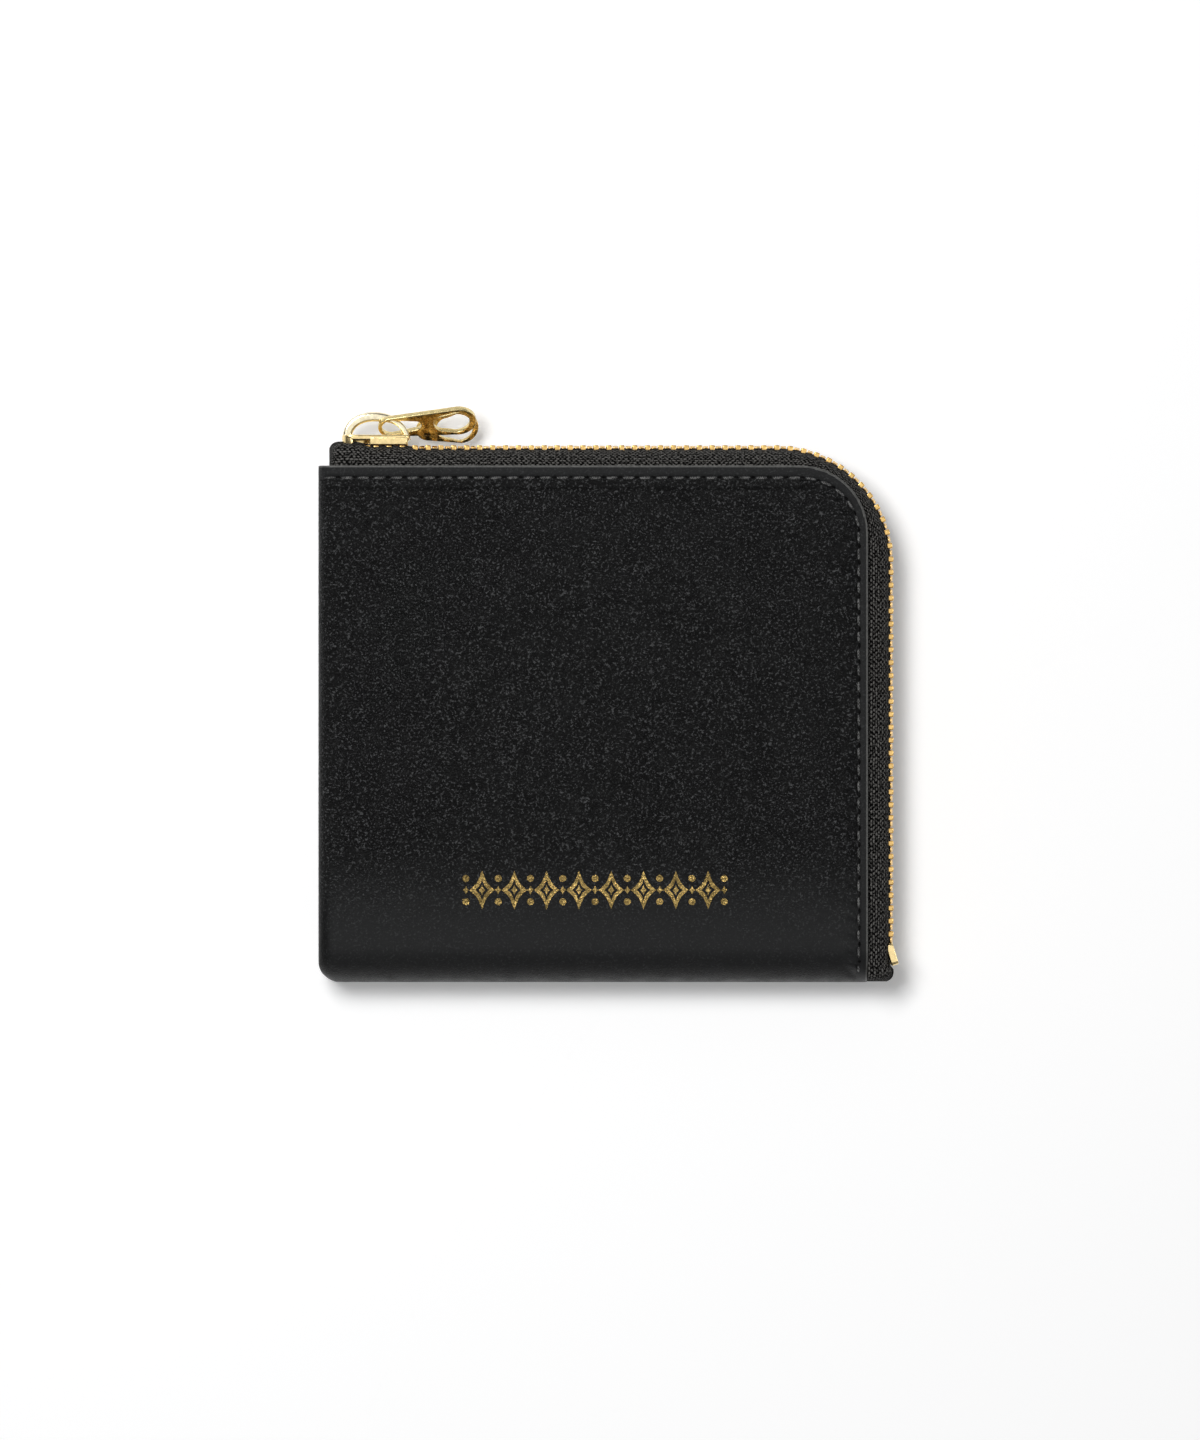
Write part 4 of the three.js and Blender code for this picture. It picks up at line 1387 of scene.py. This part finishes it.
class WALLET_OT_inside(bpy.types.Operator):
    """Line the wallet and finish its card pockets and coin pocket"""

    bl_idname = "wallet.inside"
    bl_label = "Lining and pockets"

    def execute(self, context):
        thread = seam_thread()
        front = front_lining_cloth()
        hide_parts("front_lining_fixed", "front_lining")
        finish(front, None, "lining_fabric", lining_cloth())
        bends_with_the_mouth(front)
        pockets = [f"card_pocket_{k}" for k in range(1, 5)]
        walls = ["coin_pocket_back_wall", "coin_pocket_front_wall"]
        lined = ["back_lining", "coin_gusset_left", "coin_gusset_right", "coin_pocket_floor"]
        for material, nodes in ((lining_cloth(), lined), (pocket_leather(), walls + pockets)):
            for node in nodes:
                carried = frame["nodes"][node].data.materials
                for k in range(len(carried)):
                    carried[k] = material
        for node in walls[1:] + pockets:
            low, high = in_mm(node)
            finish(pocket_stitches(node + "_stitches", low, high), "cover", "seam_thread", thread)
        return {"FINISHED"}


# ---- stage --------------------------------------------------------------------------------------
def soft_light(name, place, aim, size, watts):
    bpy.ops.object.light_add(type="AREA", location=place)
    lamp = bpy.context.object
    lamp.name = name
    lamp.data.shape = "RECTANGLE"
    lamp.data.size, lamp.data.size_y = size
    lamp.data.energy = watts
    lamp.data.spread = math.pi
    lamp.rotation_euler = (Vector(aim) - Vector(place)).to_track_quat("-Z", "Y").to_euler()
    return lamp


class WALLET_OT_stage(bpy.types.Operator):
    """Set a plain pale floor, soft studio light and a camera looking straight down"""

    bl_idname = "wallet.stage"
    bl_label = "Stage"

    def execute(self, context):
        scene = context.scene
        bpy.ops.object.select_all(action="DESELECT")
        bpy.ops.mesh.primitive_plane_add(size=8, location=(0, 0, -0.0001))
        floor = bpy.context.object
        floor.name = "floor"
        material, g, shader = new_material("Pale floor")
        where = g.add("ShaderNodeTexCoord").outputs["Object"]
        cloud = g.add("ShaderNodeTexNoise", {"Vector": where, "Scale": 3.0}).outputs["Fac"]
        base = colours().floor
        tint = g.mix(g.remap(cloud, 0.3, 0.7), rgba(base, 0.99), rgba(base, 1.01))
        g.link(tint, shader.inputs["Base Color"])
        shader.inputs["Roughness"].default_value = 0.9
        shader.inputs["Specular IOR Level"].default_value = 0.1
        shader.inputs["Emission Color"].default_value = (1, 1, 1, 1)
        shader.inputs["Emission Strength"].default_value = 0.28
        floor.data.materials.append(material)

        world = bpy.data.worlds.new("Studio")
        world.use_nodes = True
        sky = world.node_tree.nodes["Background"].inputs
        sky["Color"].default_value = (0.97, 0.98, 1.0, 1.0)
        sky["Strength"].default_value = 0.12
        scene.world = world
        shines = (
            soft_light("key_softbox", (-0.42, 0.5, 0.62), (0, 0, 0), (0.5, 0.4), 5.0),
            soft_light("side_softbox", (0.75, 0.1, 0.4), (0, 0, 0.01), (0.2, 0.7), 1.6),
            soft_light("low_strip", (-0.1, 0.9, 0.2), (0, 0, 0.01), (1.2, 0.35), 1.0),
            soft_light("ceiling_card", (0, 0, 1.3), (0, 0, 0), (1.6, 1.6), 7.2),
        )
        for lamp in shines:
            lamp.visible_diffuse = False
        overhead = soft_light("overhead_fill", (-0.22, 0.24, 1.1), (0, 0, 0), (0.35, 0.35), 10.0)
        overhead.visible_glossy = False
        for lamp in (*shines, overhead):
            lamp.visible_camera = False

        bpy.ops.object.camera_add(location=(0.00134, 0.00086, 1.9325))
        camera = bpy.context.object
        camera.name = "camera"
        camera.data.sensor_fit = "VERTICAL"
        camera.data.sensor_height = 36
        camera.data.lens = 250
        camera.data.clip_start = 0.01
        scene.camera = camera
        scene.view_settings.view_transform = "Standard"
        scene.view_settings.look = "None"
        return {"FINISHED"}


STEPS = (
    WALLET_OT_covers,
    WALLET_OT_stitching,
    WALLET_OT_tapes,
    WALLET_OT_teeth,
    WALLET_OT_stops,
    WALLET_OT_slider,
    WALLET_OT_pull,
    WALLET_OT_ornament,
    WALLET_OT_inside,
    WALLET_OT_stage,
)


class WALLET_PT_panel(bpy.types.Panel):
    """Lists the wallet's building steps with their sizes and colours"""

    bl_idname = "WALLET_PT_panel"
    bl_label = "Zip Around Wallet"
    bl_space_type = "VIEW_3D"
    bl_region_type = "UI"
    bl_category = "Wallet"

    def draw(self, context):
        for step in STEPS:
            self.layout.operator(step.bl_idname)
        for group in (context.scene.wallet_sizes, context.scene.wallet_colours):
            column = self.layout.column()
            for key in group.__annotations__:
                column.prop(group, key)


def register():
    for item in (WalletSizes, WalletColours, *STEPS, WALLET_PT_panel):
        bpy.utils.register_class(item)
    bpy.types.Scene.wallet_sizes = bpy.props.PointerProperty(type=WalletSizes)
    bpy.types.Scene.wallet_colours = bpy.props.PointerProperty(type=WalletColours)


def unregister():
    del bpy.types.Scene.wallet_colours
    del bpy.types.Scene.wallet_sizes
    for item in reversed((WalletSizes, WalletColours, *STEPS, WALLET_PT_panel)):
        bpy.utils.unregister_class(item)


def main():
    register()
    for step in STEPS:
        group, name = step.bl_idname.split(".")
        getattr(getattr(bpy.ops, group), name)()


if __name__ == "__main__":
    main()
